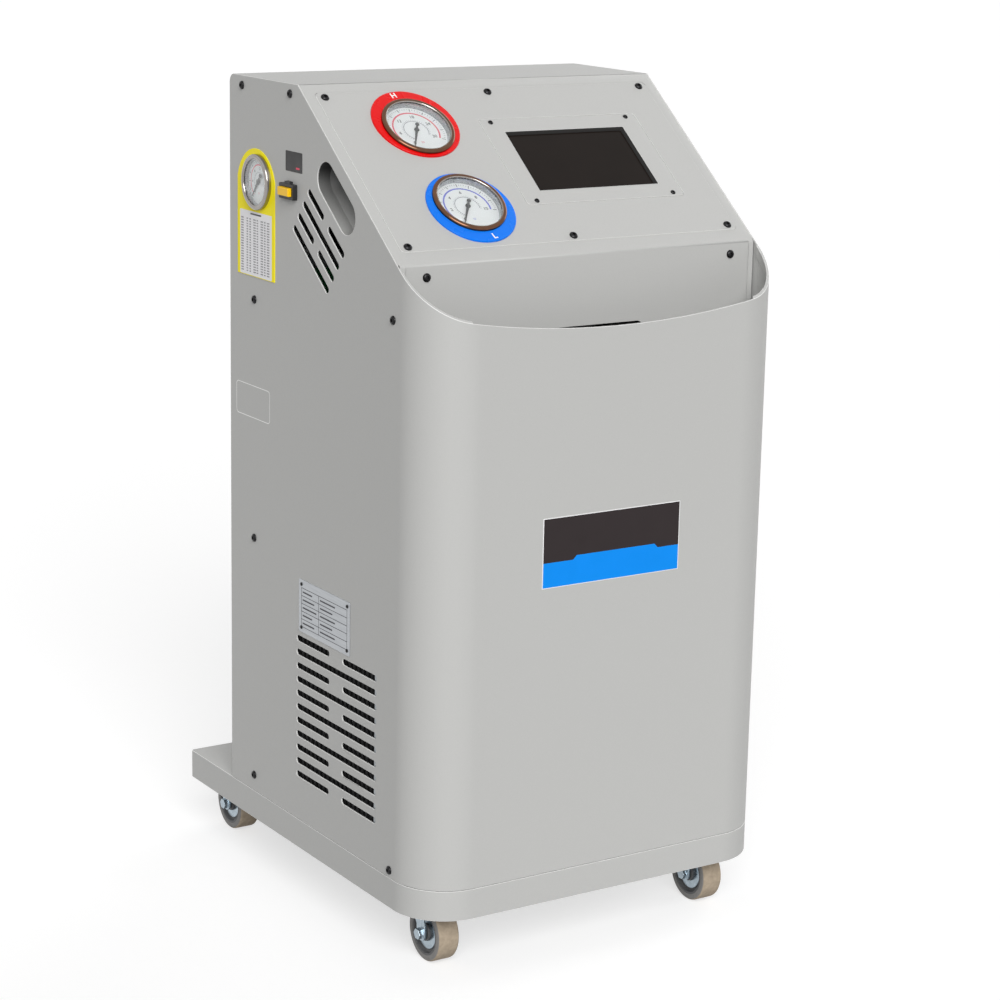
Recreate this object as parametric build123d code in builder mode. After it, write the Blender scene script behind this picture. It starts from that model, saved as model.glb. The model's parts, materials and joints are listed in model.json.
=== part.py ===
"""Air conditioning recharge station: a sheet steel cabinet on four swivel casters.

The floor is z = 0, the front faces -Y and the origin is under the middle of the base tray.
All sizes are in millimetres.
"""

import math
import os

from build123d import *

os.makedirs("parts", exist_ok=True)

# Overall sizes
cabinet_width = 460
cabinet_depth = 445
tray_depth = 556
body_height = 833
corner_radius = 62

# Sheet thicknesses and clearances
sheet = 1.5
tray_sheet = 2
seam = 0.6
slip = 0.3

# Side outline of the cabinet: flat top, slope, apron behind the scoop
top_flat_depth = 161
apron_setback = 68
slope_drop = 167
back_bend_radius = 10
bend_radius = 3
scoop_drop = 67
scoop_blend_angle = 11
hem_height = 12
back_return = 14

# Base tray
tray_rim = 34
tray_back_radius = 4

# Control panel and display, let into the slope
screen_depth = 4
panel_side_margin = 14
panel_top_margin = 14.4
panel_length = 239
panel_corner_radius = 5
ledge_width = 12
seam_gap = 0.5
display_offset_x = 71
display_offset_u = 131
display_frame_width = 208
display_frame_height = 132
display_window_width = 158
display_window_height = 92
display_screw_spacing_x = 181
display_screw_spacing_u = 122
glass_thickness = 2
glass_margin = 5
module_depth = 18

# Gauges on the slope
gauge_case_radius = 39
bezel_overlap = 3
sight_inset = 2.5
gauge_case_depth = 32
gauge_proud = 6
gauge_dial_depth = 4
collar_margin = 9
collar_thickness = 2.2
collar_shift = 5.6
high_side_x = -115
high_side_u = 74
low_side_x = -106
low_side_u = 191.5

# Tank gauge, its plate and the purge button on the left side
tank_gauge_from_front = 374
tank_gauge_height = 718.6
tank_case_radius = 28
tank_case_depth = 28
tank_gauge_proud = 7
tank_dial_depth = 1
tank_plate_from_front = 380
tank_plate_width = 89
tank_plate_bottom = 611
tank_plate_top = 755
tank_plate_shoulder = 721
tank_plate_thickness = 0.8
purge_from_front = 300
purge_height = 717
purge_body_width = 32
purge_body_height = 17
purge_body_proud = 6
purge_key_width = 24
purge_key_height = 9
purge_key_proud = 4
purge_travel = 3

purge_hump = 2.5
purge_stem_length = 26
key_engagement = 1.5

# Dials, lenses and needles
case_wall = 1.2
lens_depth = 1.6
lens_thickness = 1.6
bezel_round = 2
dial_thickness = 0.8
movement_radius = 14
pivot_radius = 1.2
pivot_depth = 8
connection_radius = 8
connection_length = 14
needle_reach = 0.86
needle_root = 1.6
needle_tip = 0.35
needle_tail = 9
needle_hub = 3
needle_lift = 1.2
needle_thickness = 0.8
high_side_rest = 152
low_side_rest = 148
tank_rest = 142

# Handle openings and vents, square to the slope
cup_flange = 8
cup_round = 11
handle_below_slope = 36
handle_width = 38
handle_length = 94
handle_depth = 26
cup_wall = 1.2
vent_width = 8
vent_array_length = 100
vent_gap = 13
vent_first_row = 73
vent_row_pitch = 18
vent_rows = 4
low_vent_from_front = 193
low_vent_length = 180
low_vent_gap = 30
low_vent_height = 7
low_vent_bottom = 55
low_vent_pitch = 16.1
low_vent_rows = 11

# Apron slot and rating plate
slot_half_width = 82
slot_height = 22
slot_below_bend = 78
pocket_floor_below_bend = 180
apron_side_gap = 9
rear_lip = 50
side_tab_height = 24
rating_from_front = 219
rating_height = 256
rating_width = 116
rating_plate_height = 61
rating_thickness = 0.8

# Screws
screw_head_radius = 4.75
small_head_radius = 3
rear_screw_from_front = 386
side_screw_upper = 585
apron_screw_below_bend = 13

# Casters
caster_headroom = 33
caster_inset_x = 52
front_swivel_from_front = 84
rear_swivel_from_back = 48
caster_trail = 22
caster_plate_size = 60
caster_plate_thickness = 2.5
race_radius = 22
race_height = 12
race_gap = 0.6
wheel_radius = 32.5
wheel_width = 26
tyre_thickness = 7
fork_gap = 2
fork_sheet = 2.5
fork_leg_width = 17
fork_crown_length = 30
wheel_rim_wall = 3
wheel_dish = 5
tyre_shoulder = 3
axle_radius = 4
nut_radius = 6.5
nut_height = 5

# Inside the cabinet
post_size = 25
front_post_size = 40
scale_width = 210
scale_height = 22
load_cell_width = 30
load_cell_length = 130
tank_radius = 102
tank_height = 320
tank_shoulder = 38
tank_foot_height = 10
tank_x = 10
tank_y = 48
valve_radius = 12
valve_height = 34
valve_stem_radius = 4
valve_stem_reach = 30
handwheel_radius = 16
handwheel_thickness = 10
handwheel_lobes = 6
compressor_x = 15
compressor_y = -188
compressor_radius = 68
compressor_height = 180
compressor_dome = 24
compressor_foot_spacing = 110
compressor_foot_radius = 10
compressor_foot_height = 14
pump_x = 160
pump_width = 92
pump_length = 170
fan_radius = 76
fan_hub_radius = 18
fan_shaft_radius = 3
fan_blades = 5
fan_arms = 3
fan_depth = 24
motor_depth = 4
blade_pitch = 60
condenser_y = -72
condenser_depth = 40
condenser_length = 184
condenser_height = 176
condenser_bottom = 50
fin_depth = 8
fin_count = 19
mounting_plate_bottom = 430
mounting_plate_height = 200
valve_block_x = 90
valve_block_height_on_plate = 60
valve_block_length = 150
valve_block_width = 40
valve_block_depth = 36
coil_count = 4
coil_width = 26
coil_height = 32
coil_stem_radius = 6
board_x = -80
board_height_on_plate = 130
board_width = 180
board_height = 110
board_stand_off = 8
power_supply_x = -60
power_supply_height_on_plate = 38
power_supply_width = 110
power_supply_height = 56
power_supply_depth = 32
drier_x = -150
drier_height_on_plate = 38
drier_radius = 18
drier_length = 70
line_radius = 4
line_bend_radius = 16
line_level = 400

# Back of the cabinet
back_sheet = 1.2
back_vent_height = 620
back_vent_pitch = 18
back_vent_length = 80
back_vent_columns = 2
back_vent_rows = 6
port_x = 150
port_height_on_back = 520
port_radius = 8
port_length = 34
port_spacing = 46
inlet_x = 140
inlet_height_on_back = 60
inlet_width = 48
inlet_total_height = 66
inlet_height = 27
inlet_flange = 3
inlet_depth = 26
socket_height = 18
switch_height = 22
rocker_width = 14
rocker_reach = 10.5
rocker_rise = 3
rocker_tilt = -8
bottle_level = 280
bottle_radius = 30
bottle_height = 110
bottle_spacing = 72
bottle_count = 3

# Places worked out from the sizes
half_width = cabinet_width / 2
caster_height = 2 * wheel_radius + caster_headroom
front = -tray_depth / 2
cabinet_back = front + cabinet_depth
deck_top = caster_height + tray_sheet
shell_base = deck_top + seam
top = deck_top + body_height
slope_top_y = cabinet_back - top_flat_depth
slope_low_y = front + apron_setback
slope_low_z = top - slope_drop
slope_run = slope_top_y - slope_low_y
slope_length = math.hypot(slope_run, slope_drop)
slope_rise = slope_drop / slope_run
slope_degrees = math.degrees(math.atan2(slope_drop, slope_run))
slope_sine = slope_drop / slope_length
slope_cosine = slope_run / slope_length
slope_front_z = slope_low_z - slope_rise * apron_setback
scoop_low_z = slope_low_z - scoop_drop
inner_half_width = half_width - sheet
glass_width = display_window_width + 2 * glass_margin
glass_height = display_window_height + 2 * glass_margin
cover_half_width = inner_half_width - slip
panel_width = cabinet_width - 2 * panel_side_margin

slope_normal = (0, -slope_sine, slope_cosine)
slope_axis = Axis((0, slope_top_y, top), slope_normal)
slope_plane = Plane(origin=(0, slope_top_y, top), x_dir=(1, 0, 0), z_dir=slope_normal)
left_plane = Plane(origin=(-half_width, front, deck_top), x_dir=(0, -1, 0), z_dir=(-1, 0, 0))


def below_slope(depth):
    """The slope's plane moved down square to the slope."""
    return slope_plane.offset(-depth)


def save(part, name):
    """Labels a finished piece and writes it to its own file."""
    part.label = name
    export_step(part, f"parts/{name}.step")


def slope_line_z(y, lift=0):
    """Height of the slope's plane over a place in the depth, moved up by lift."""
    return slope_low_z + slope_rise * (y - slope_low_y) + lift


# Base tray: a pressed deck with a rim turned down all round
with BuildPart() as base_tray:
    with BuildSketch(Plane.XY.offset(deck_top - tray_rim)) as tray_plan:
        Rectangle(cabinet_width, tray_depth)
        fillet(tray_plan.vertices().group_by(Axis.Y)[0], corner_radius)
        fillet(tray_plan.vertices().group_by(Axis.Y)[-1], tray_back_radius)
    extrude(amount=tray_rim)
    underside = base_tray.faces().sort_by(Axis.Z)[0]
    offset(amount=-tray_sheet, openings=underside)
save(base_tray.part, "base_tray")


# Frame posts: angle posts behind the apron and near the back, standing on the deck
post_outside = inner_half_width - slip
front_post_face = slope_low_y + sheet + slip
front_post_top = slope_low_z - apron_screw_below_bend + screw_head_radius
rear_post_face = front + rear_screw_from_front + post_size / 2 - tray_sheet
rear_post_top = deck_top + side_screw_upper + 2 * post_size
with BuildPart() as frame_posts:
    for side, alignment in ((-1, Align.MIN), (1, Align.MAX)):
        with BuildSketch(Plane.XY.offset(deck_top)):
            with Locations((side * post_outside, front_post_face)):
                Rectangle(tray_sheet, front_post_size, align=(alignment, Align.MIN))
                Rectangle(front_post_size, tray_sheet, align=(alignment, Align.MIN))
        extrude(amount=front_post_top - deck_top)
        with BuildSketch(Plane.XY.offset(deck_top)):
            with Locations((side * post_outside, rear_post_face + tray_sheet)):
                Rectangle(tray_sheet, post_size, align=(alignment, Align.MAX))
                Rectangle(post_size, tray_sheet, align=(alignment, Align.MAX))
        extrude(amount=rear_post_top - deck_top)
save(frame_posts.part, "frame_posts")


# Wrap shell: one sheet bent round the left side, the front and the right side
def side_openings(plane):
    """Handle opening, slanted vents and lower vents of one side.

    The plane starts at the side's front bottom corner; distances from the front run along its negative X.
    """
    handle_middle_x = -(apron_setback + slope_run / 2)
    handle_middle_y = slope_low_z - deck_top + slope_drop / 2
    short_vent = (vent_array_length - vent_gap) / 2
    short_low_vent = (low_vent_length - low_vent_gap) / 2
    with BuildSketch(plane) as openings:
        with Locations(Location((handle_middle_x, handle_middle_y, 0), (0, 0, -slope_degrees))):
            with Locations((0, -handle_below_slope)):
                SlotOverall(handle_length, handle_width)
            for row in range(vent_rows):
                row_depth = vent_first_row + row * vent_row_pitch
                if row % 2:
                    with Locations((0, -row_depth)):
                        SlotOverall(vent_array_length, vent_width)
                else:
                    with Locations((0, -row_depth)):
                        with GridLocations(short_vent + vent_gap, 0, 2, 1):
                            SlotOverall(short_vent, vent_width)
        for row in range(low_vent_rows):
            with Locations((-low_vent_from_front, low_vent_bottom + row * low_vent_pitch)):
                if row % 2:
                    SlotOverall(low_vent_length, low_vent_height)
                else:
                    with GridLocations(short_low_vent + low_vent_gap, 0, 2, 1):
                        SlotOverall(short_low_vent, low_vent_height)
    return openings.sketch


scoop_blend = math.radians(scoop_blend_angle)
scoop_half_width = half_width - corner_radius * (1 - math.sin(scoop_blend))
scoop_end_z = slope_front_z + slope_rise * corner_radius * (1 - math.cos(scoop_blend))


def scoop_profile(lift, far_z):
    """Area between the scoop's lip, moved up by lift, and the level far_z, seen from the front."""
    with BuildSketch(Plane.XZ.offset(-slope_low_y)) as profile:
        with BuildLine():
            lip = ThreePointArc(
                (-scoop_half_width, scoop_end_z + lift),
                (0, scoop_low_z + lift),
                (scoop_half_width, scoop_end_z + lift),
            )
            Polyline(lip @ 1, (scoop_half_width, far_z), (-scoop_half_width, far_z), lip @ 0)
        make_face()
    return profile.sketch


with BuildPart() as wrap_shell:
    with BuildSketch(Plane.XY.offset(shell_base)) as outer_plan:
        with Locations((0, front + cabinet_depth / 2)):
            Rectangle(cabinet_width, cabinet_depth)
        fillet(outer_plan.vertices().group_by(Axis.Y)[0], corner_radius)
    extrude(amount=top - shell_base)
    with BuildSketch(Plane.XY.offset(shell_base)) as inner_plan:
        with Locations((0, front + sheet + cabinet_depth / 2)):
            Rectangle(2 * inner_half_width, cabinet_depth)
        fillet(inner_plan.vertices().group_by(Axis.Y)[0], corner_radius - sheet)
    extrude(amount=top - shell_base, mode=Mode.SUBTRACT)
    for side in (-1, 1):
        with BuildSketch(Plane.XY.offset(shell_base)):
            with Locations((side * half_width, cabinet_back)):
                Rectangle(back_return, sheet, align=(Align.MAX if side > 0 else Align.MIN, Align.MAX))
        extrude(amount=top - rear_lip - seam - shell_base)
    with BuildSketch(Plane.YZ.offset(-cabinet_width)):
        with BuildLine():
            Polyline(
                (front - sheet, slope_line_z(front - sheet)),
                (slope_top_y, top),
                (slope_top_y, top + sheet),
                (front - sheet, top + sheet),
                close=True,
            )
        make_face()
    extrude(amount=2 * cabinet_width, mode=Mode.SUBTRACT)
    with BuildSketch(Plane.YZ.offset(-cabinet_width)):
        with Locations((cabinet_back, top)):
            Rectangle(back_bend_radius, back_bend_radius, align=(Align.MAX, Align.MAX))
        with Locations((cabinet_back - back_bend_radius, top - back_bend_radius)):
            Circle(back_bend_radius, mode=Mode.SUBTRACT)
    extrude(amount=2 * cabinet_width, mode=Mode.SUBTRACT)
    extrude(scoop_profile(0, top), amount=apron_setback + sheet, mode=Mode.SUBTRACT)
    for outside in (sheet, 2 * sheet - cabinet_width):
        extrude(side_openings(left_plane.offset(outside)), amount=-3 * sheet, mode=Mode.SUBTRACT)
    with BuildSketch(left_plane.offset(sheet)):
        with Locations((-tank_gauge_from_front, tank_gauge_height)):
            Circle(tank_case_radius + slip)
        with Locations((-purge_from_front, purge_height)):
            Circle(purge_body_height / 3)
    extrude(amount=-3 * sheet, mode=Mode.SUBTRACT)

# The lip's hem: the sheet folded back on itself behind the scoop
with BuildPart() as lip_hem:
    with BuildSketch(Plane.XY.offset(scoop_low_z - hem_height)) as hem_outer:
        with Locations((0, front + sheet + apron_setback / 2)):
            Rectangle(2 * inner_half_width, apron_setback)
        fillet(hem_outer.vertices().group_by(Axis.Y)[0], corner_radius - sheet)
    extrude(amount=slope_low_z - scoop_low_z + hem_height)
    with BuildSketch(Plane.XY.offset(scoop_low_z - hem_height)) as hem_inner:
        with Locations((0, front + 2 * sheet + apron_setback / 2)):
            Rectangle(2 * (inner_half_width - sheet), apron_setback)
        fillet(hem_inner.vertices().group_by(Axis.Y)[0], corner_radius - 2 * sheet)
    extrude(amount=slope_low_z - scoop_low_z + hem_height, mode=Mode.SUBTRACT)
    hem_back = slope_low_y - 2 * bend_radius
    with BuildSketch(Plane.YZ.offset(-cabinet_width)):
        with BuildLine():
            Polyline(
                (front - sheet, slope_line_z(front - sheet)),
                (hem_back, slope_line_z(hem_back)),
                (hem_back, scoop_low_z - 2 * hem_height),
                (slope_low_y + bend_radius, scoop_low_z - 2 * hem_height),
                (slope_low_y + bend_radius, top),
                (front - sheet, top),
                close=True,
            )
        make_face()
    extrude(amount=2 * cabinet_width, mode=Mode.SUBTRACT)
    extrude(scoop_profile(0, top), amount=apron_setback + sheet, mode=Mode.SUBTRACT)
    hem_below = scoop_profile(-hem_height, scoop_low_z - 2 * hem_height)
    extrude(hem_below, amount=apron_setback + sheet, mode=Mode.SUBTRACT)
    for side in (-1, 1):
        with BuildSketch(Plane.YZ.offset(side * scoop_half_width)):
            with BuildLine():
                Polyline(
                    (front - sheet, slope_line_z(front - sheet, -hem_height)),
                    (slope_low_y, slope_line_z(slope_low_y, -hem_height)),
                    (slope_low_y, scoop_low_z - 2 * hem_height),
                    (front - sheet, scoop_low_z - 2 * hem_height),
                    close=True,
                )
            make_face()
        extrude(amount=side * corner_radius, mode=Mode.SUBTRACT)
wrap_part = wrap_shell.part + lip_hem.part
save(wrap_part, "wrap_shell")


# Top cover: one bent sheet that is the rear lip, flat top, slope, apron and pocket floor
apron_bottom_z = slope_low_z - pocket_floor_below_bend
pocket_floor_front = front + sheet + slip
panel_middle_u = panel_top_margin + panel_length / 2


with BuildPart() as top_cover:
    with BuildSketch(Plane.YZ.offset(-cover_half_width)):
        with BuildLine() as path:
            Polyline(
                (cabinet_back, top - rear_lip),
                (cabinet_back, top),
                (slope_top_y, top),
                (slope_low_y, slope_low_z),
                (slope_low_y, apron_bottom_z),
                (pocket_floor_front, apron_bottom_z),
            )
            back_corner = path.vertices().sort_by(Axis.X)[-2:].sort_by(Axis.Y)[-1]
            fillet(back_corner, back_bend_radius)
            bends = path.vertices().filter_by(lambda v: abs(v.X - slope_low_y) < sheet)
            bends += path.vertices().filter_by(lambda v: abs(v.X - slope_top_y) < sheet)
            fillet(bends, bend_radius)
            offset(amount=sheet, side=Side.LEFT)
        make_face()
    extrude(amount=2 * cover_half_width)
    for side in (-1, 1):
        with BuildSketch(Plane.YZ.offset(side * cover_half_width)):
            with Locations(((slope_top_y + cabinet_back) / 2, top - sheet)):
                Rectangle(top_flat_depth - 2 * back_return, side_tab_height, align=(Align.CENTER, Align.MAX))
        extrude(amount=-side * sheet)
        with BuildSketch(Plane.XZ.offset(-slope_low_y - bend_radius)):
            with Locations((side * half_width, slope_low_z)):
                Rectangle(2 * apron_side_gap, 3 * pocket_floor_below_bend)
        extrude(amount=2 * apron_setback, mode=Mode.SUBTRACT)
    floor_corners = top_cover.edges().filter_by(Axis.Z).group_by(Axis.Y)[0]
    fillet(floor_corners, corner_radius - apron_side_gap)
    with BuildSketch(slope_plane):
        with Locations((0, -panel_middle_u)):
            RectangleRounded(
                panel_width + 2 * seam_gap, panel_length + 2 * seam_gap, panel_corner_radius + seam_gap
            )
    extrude(amount=-sheet, mode=Mode.SUBTRACT)
    with BuildSketch(below_slope(sheet)):
        with Locations((0, -panel_middle_u)):
            RectangleRounded(panel_width + 2 * ledge_width, panel_length + 2 * ledge_width, ledge_width)
            RectangleRounded(
                panel_width - 2 * ledge_width,
                panel_length - 2 * ledge_width,
                panel_corner_radius,
                mode=Mode.SUBTRACT,
            )
    extrude(amount=-sheet)
    with BuildSketch(Plane.XZ.offset(-slope_low_y - 2 * sheet)):
        with Locations((0, slope_low_z - slot_below_bend - slot_height / 2)):
            SlotOverall(2 * slot_half_width, slot_height)
    extrude(amount=4 * sheet, mode=Mode.SUBTRACT)
save(top_cover.part, "top_cover")


# Gauges: where each one stands, square to its panel, and its own radii and depths
def slope_point(x, u):
    """Plane on the slope, x from the middle and u down the slope from its top bend."""
    origin = (x, slope_top_y - u * slope_cosine, top - u * slope_sine)
    return Plane(origin=origin, x_dir=(1, 0, 0), z_dir=slope_normal)


def left_point(from_front, height, stand_off=0):
    """Plane on the left side, facing outwards."""
    origin = (-half_width - stand_off, front + from_front, deck_top + height)
    return Plane(origin=origin, x_dir=(0, -1, 0), z_dir=(-1, 0, 0))


high_side_plane = slope_point(high_side_x, high_side_u)
low_side_plane = slope_point(low_side_x, low_side_u)
tank_gauge_plane = left_point(tank_gauge_from_front, tank_gauge_height)
slope_gauge = {
    "bezel": gauge_case_radius + bezel_overlap,
    "case": gauge_case_radius,
    "sight": gauge_case_radius - sight_inset,
    "depth": gauge_case_depth,
    "proud": gauge_proud,
    "seat": collar_thickness,
    "dial": gauge_dial_depth,
}
side_gauge = {
    "bezel": tank_case_radius + bezel_overlap,
    "case": tank_case_radius,
    "sight": tank_case_radius - sight_inset,
    "depth": tank_case_depth,
    "proud": tank_gauge_proud,
    "seat": tank_plate_thickness,
    "dial": tank_dial_depth,
}
gauges = (
    ("high_side", high_side_plane, slope_gauge, high_side_rest),
    ("low_side", low_side_plane, slope_gauge, low_side_rest),
    ("tank", tank_gauge_plane, side_gauge, tank_rest),
)


# Control panel: a flat plate with gauge holes and a sunk seat for the display frame
with BuildPart() as control_panel:
    with BuildSketch(slope_plane):
        with Locations((0, -panel_middle_u)):
            RectangleRounded(panel_width, panel_length, panel_corner_radius)
    extrude(amount=-sheet)
    with BuildSketch(slope_plane):
        with Locations((display_offset_x, -display_offset_u)):
            RectangleRounded(
                display_frame_width + 2 * seam_gap, display_frame_height + 2 * seam_gap, panel_corner_radius
            )
        with Locations((high_side_x, -high_side_u), (low_side_x, -low_side_u)):
            Circle(gauge_case_radius + slip)
    extrude(amount=-sheet, mode=Mode.SUBTRACT)
    with BuildSketch(below_slope(sheet)):
        with Locations((display_offset_x, -display_offset_u)):
            Rectangle(display_frame_width + ledge_width, display_frame_height + ledge_width)
            Rectangle(display_frame_width - 2 * sheet, display_frame_height - 2 * sheet, mode=Mode.SUBTRACT)
    extrude(amount=-sheet)
save(control_panel.part, "control_panel")


# Display frame: a plate with a folded rim round its window
with BuildPart() as display_frame:
    with BuildSketch(slope_plane):
        with Locations((display_offset_x, -display_offset_u)):
            RectangleRounded(display_frame_width, display_frame_height, panel_corner_radius - seam_gap)
    extrude(amount=-sheet)
    with BuildSketch(below_slope(sheet)):
        with Locations((display_offset_x, -display_offset_u)):
            Rectangle(display_window_width + 2 * sheet, display_window_height + 2 * sheet)
    extrude(amount=sheet - screen_depth)
    with BuildSketch(slope_plane):
        with Locations((display_offset_x, -display_offset_u)):
            Rectangle(display_window_width, display_window_height)
    extrude(amount=-screen_depth, mode=Mode.SUBTRACT)
save(display_frame.part, "display_frame")

with BuildPart() as touch_screen:
    with BuildSketch(below_slope(screen_depth)):
        with Locations((display_offset_x, -display_offset_u)):
            RectangleRounded(glass_width, glass_height, glass_thickness)
    extrude(amount=-glass_thickness)
save(touch_screen.part, "touch_screen")

module_top = screen_depth + glass_thickness
with BuildPart() as display_module:
    with BuildSketch(below_slope(module_top)):
        with Locations((display_offset_x, -display_offset_u)):
            RectangleRounded(glass_width, glass_height, glass_thickness)
    extrude(amount=-module_depth)
    with BuildSketch(below_slope(module_top)):
        with Locations((display_offset_x, -display_offset_u)):
            with GridLocations(display_screw_spacing_x, display_screw_spacing_u, 2, 2):
                Circle(small_head_radius)
            with GridLocations(display_screw_spacing_x, 0, 2, 1):
                Rectangle(3 * small_head_radius, display_screw_spacing_u)
    extrude(amount=-sheet)
    with BuildSketch(below_slope(module_top)):
        with Locations((display_offset_x, -display_offset_u)):
            with GridLocations(display_screw_spacing_x, display_screw_spacing_u, 2, 2):
                Circle(small_head_radius)
    extrude(amount=module_top - sheet)
    chamfer(display_module.faces().sort_by(slope_axis)[0].edges(), sheet)
save(display_module.part, "display_module")


# Coloured collars: discs that stand off centre round their gauges
for name, plane, shift in (
    ("high_side_collar", high_side_plane, collar_shift),
    ("low_side_collar", low_side_plane, -collar_shift),
):
    with BuildPart() as collar:
        with BuildSketch(plane):
            with Locations((0, shift)):
                Circle(gauge_case_radius + bezel_overlap + collar_margin)
        extrude(amount=collar_thickness)
        chamfer(collar.edges().sort_by(slope_axis)[-1], collar_thickness / 2)
        with BuildSketch(plane):
            Circle(gauge_case_radius + slip)
        extrude(amount=collar_thickness, mode=Mode.SUBTRACT)
    save(collar.part, name)


# Gauge cases: a steel cup with its movement and its pressure connection
with BuildPart() as gauge_cases:
    for name, plane, size, rest in gauges:
        seat = size["proud"] - lens_depth - lens_thickness
        with BuildSketch(plane.offset(-size["depth"])):
            Circle(size["case"])
        extrude(amount=size["depth"] + seat)
        with BuildSketch(plane.offset(-size["depth"] + case_wall)):
            Circle(size["case"] - case_wall)
        extrude(amount=size["depth"] + seat, mode=Mode.SUBTRACT)
        with BuildSketch(plane.offset(-size["depth"])):
            Circle(movement_radius)
        extrude(amount=size["depth"] - size["dial"] - dial_thickness)
        with BuildSketch(plane.offset(-size["dial"] - dial_thickness)):
            Circle(pivot_radius + slip)
        extrude(amount=-pivot_depth, mode=Mode.SUBTRACT)
        with BuildSketch(plane.offset(-size["depth"])):
            RegularPolygon(connection_radius, 6)
        extrude(amount=-connection_length)
save(gauge_cases.part, "gauge_cases")

with BuildPart() as gauge_bezels:
    for name, plane, size, rest in gauges:
        with BuildSketch(plane.offset(size["seat"])):
            Circle(size["bezel"])
        extrude(amount=size["proud"] - size["seat"])
        outward = Axis(plane.origin, plane.z_dir)
        chamfer(gauge_bezels.edges(Select.LAST).filter_by(GeomType.CIRCLE).sort_by(outward)[-1], bezel_round)
        with BuildSketch(plane.offset(size["seat"])):
            Circle(size["case"] + slip)
        extrude(amount=size["proud"] - size["seat"] - lens_depth, mode=Mode.SUBTRACT)
        with BuildSketch(plane.offset(size["proud"])):
            Circle(size["sight"])
        extrude(amount=-lens_depth, mode=Mode.SUBTRACT)
save(gauge_bezels.part, "gauge_bezels")

with BuildPart() as gauge_lenses:
    for name, plane, size, rest in gauges:
        with BuildSketch(plane.offset(size["proud"] - lens_depth)):
            Circle(size["case"])
        extrude(amount=-lens_thickness)
save(gauge_lenses.part, "gauge_lenses")

for name, plane, size, rest in gauges:
    with BuildPart() as dial:
        with BuildSketch(plane.offset(-size["dial"])):
            Circle(size["case"] - case_wall - slip)
            Circle(pivot_radius + slip, mode=Mode.SUBTRACT)
        extrude(amount=-dial_thickness)
    save(dial.part, f"{name}_dial")

# Needles: a tapered pointer and round tail on a pivot that turns in the movement
for name, plane, size, rest in gauges:
    reach = size["sight"] * needle_reach
    turn = math.radians(rest)
    turned = Plane(
        origin=plane.origin,
        x_dir=plane.x_dir * math.cos(turn) + plane.y_dir * math.sin(turn),
        z_dir=plane.z_dir,
    )
    with BuildPart() as needle:
        with BuildSketch(turned.offset(needle_lift - size["dial"])):
            Polygon(
                (-needle_root, 0),
                (-needle_tip, reach),
                (needle_tip, reach),
                (needle_root, 0),
                (needle_root / 2, -needle_tail),
                (-needle_root / 2, -needle_tail),
                align=None,
            )
            Circle(needle_hub)
            with Locations((0, -needle_tail)):
                Circle(needle_hub * 0.8)
        extrude(amount=needle_thickness)
        with BuildSketch(plane.offset(-size["dial"] - dial_thickness - pivot_depth + slip)):
            Circle(pivot_radius)
        extrude(amount=dial_thickness + pivot_depth + needle_lift)
        with BuildSketch(plane.offset(needle_lift + needle_thickness - size["dial"])):
            Circle(needle_hub / 2)
        extrude(amount=needle_thickness)
    save(needle.part, f"{name}_needle")


# Tank gauge plate: a thin plate with an arched top
with BuildPart() as tank_gauge_plate:
    with BuildSketch(left_point(tank_plate_from_front, 0)):
        half_plate = tank_plate_width / 2
        with BuildLine():
            Polyline(
                (-half_plate, tank_plate_shoulder),
                (-half_plate, tank_plate_bottom),
                (half_plate, tank_plate_bottom),
                (half_plate, tank_plate_shoulder),
            )
            ThreePointArc(
                (half_plate, tank_plate_shoulder), (0, tank_plate_top), (-half_plate, tank_plate_shoulder)
            )
        make_face()
        with Locations((tank_plate_from_front - tank_gauge_from_front, tank_gauge_height)):
            Circle(tank_case_radius + slip, mode=Mode.SUBTRACT)
    extrude(amount=tank_plate_thickness)
save(tank_gauge_plate.part, "tank_gauge_plate")


# Purge valve: a body with a raised back and a pocket that guides the push key
purge_plane = left_point(purge_from_front, purge_height)
key_pocket_depth = purge_travel + key_engagement + slip
with BuildPart() as purge_valve_body:
    with BuildSketch(purge_plane):
        RectangleRounded(purge_body_width, purge_body_height, sheet)
    extrude(amount=purge_body_proud)
    with BuildSketch(purge_plane):
        with Locations((0, purge_body_height / 2)):
            Rectangle(purge_key_width / 2, purge_hump, align=(Align.CENTER, Align.MIN))
    extrude(amount=purge_body_proud - sheet)
    with BuildSketch(purge_plane.offset(-purge_stem_length)):
        Circle(purge_body_height / 3 - slip)
    extrude(amount=purge_stem_length)
    with BuildSketch(purge_plane.offset(-sheet - slip)):
        Circle(purge_body_height / 2)
    extrude(amount=-2 * sheet)
    with BuildSketch(purge_plane.offset(purge_body_proud)):
        Rectangle(purge_key_width + 2 * slip, purge_key_height + 2 * slip)
    extrude(amount=-key_pocket_depth, mode=Mode.SUBTRACT)
save(purge_valve_body.part, "purge_valve_body")

with BuildPart() as purge_button:
    with BuildSketch(purge_plane.offset(purge_body_proud - key_engagement)):
        Rectangle(purge_key_width, purge_key_height)
    extrude(amount=purge_key_proud + key_engagement)
    fillet(purge_button.faces().sort_by(Axis.X)[0].edges(), sheet / 2)
save(purge_button.part, "purge_button")


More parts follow.
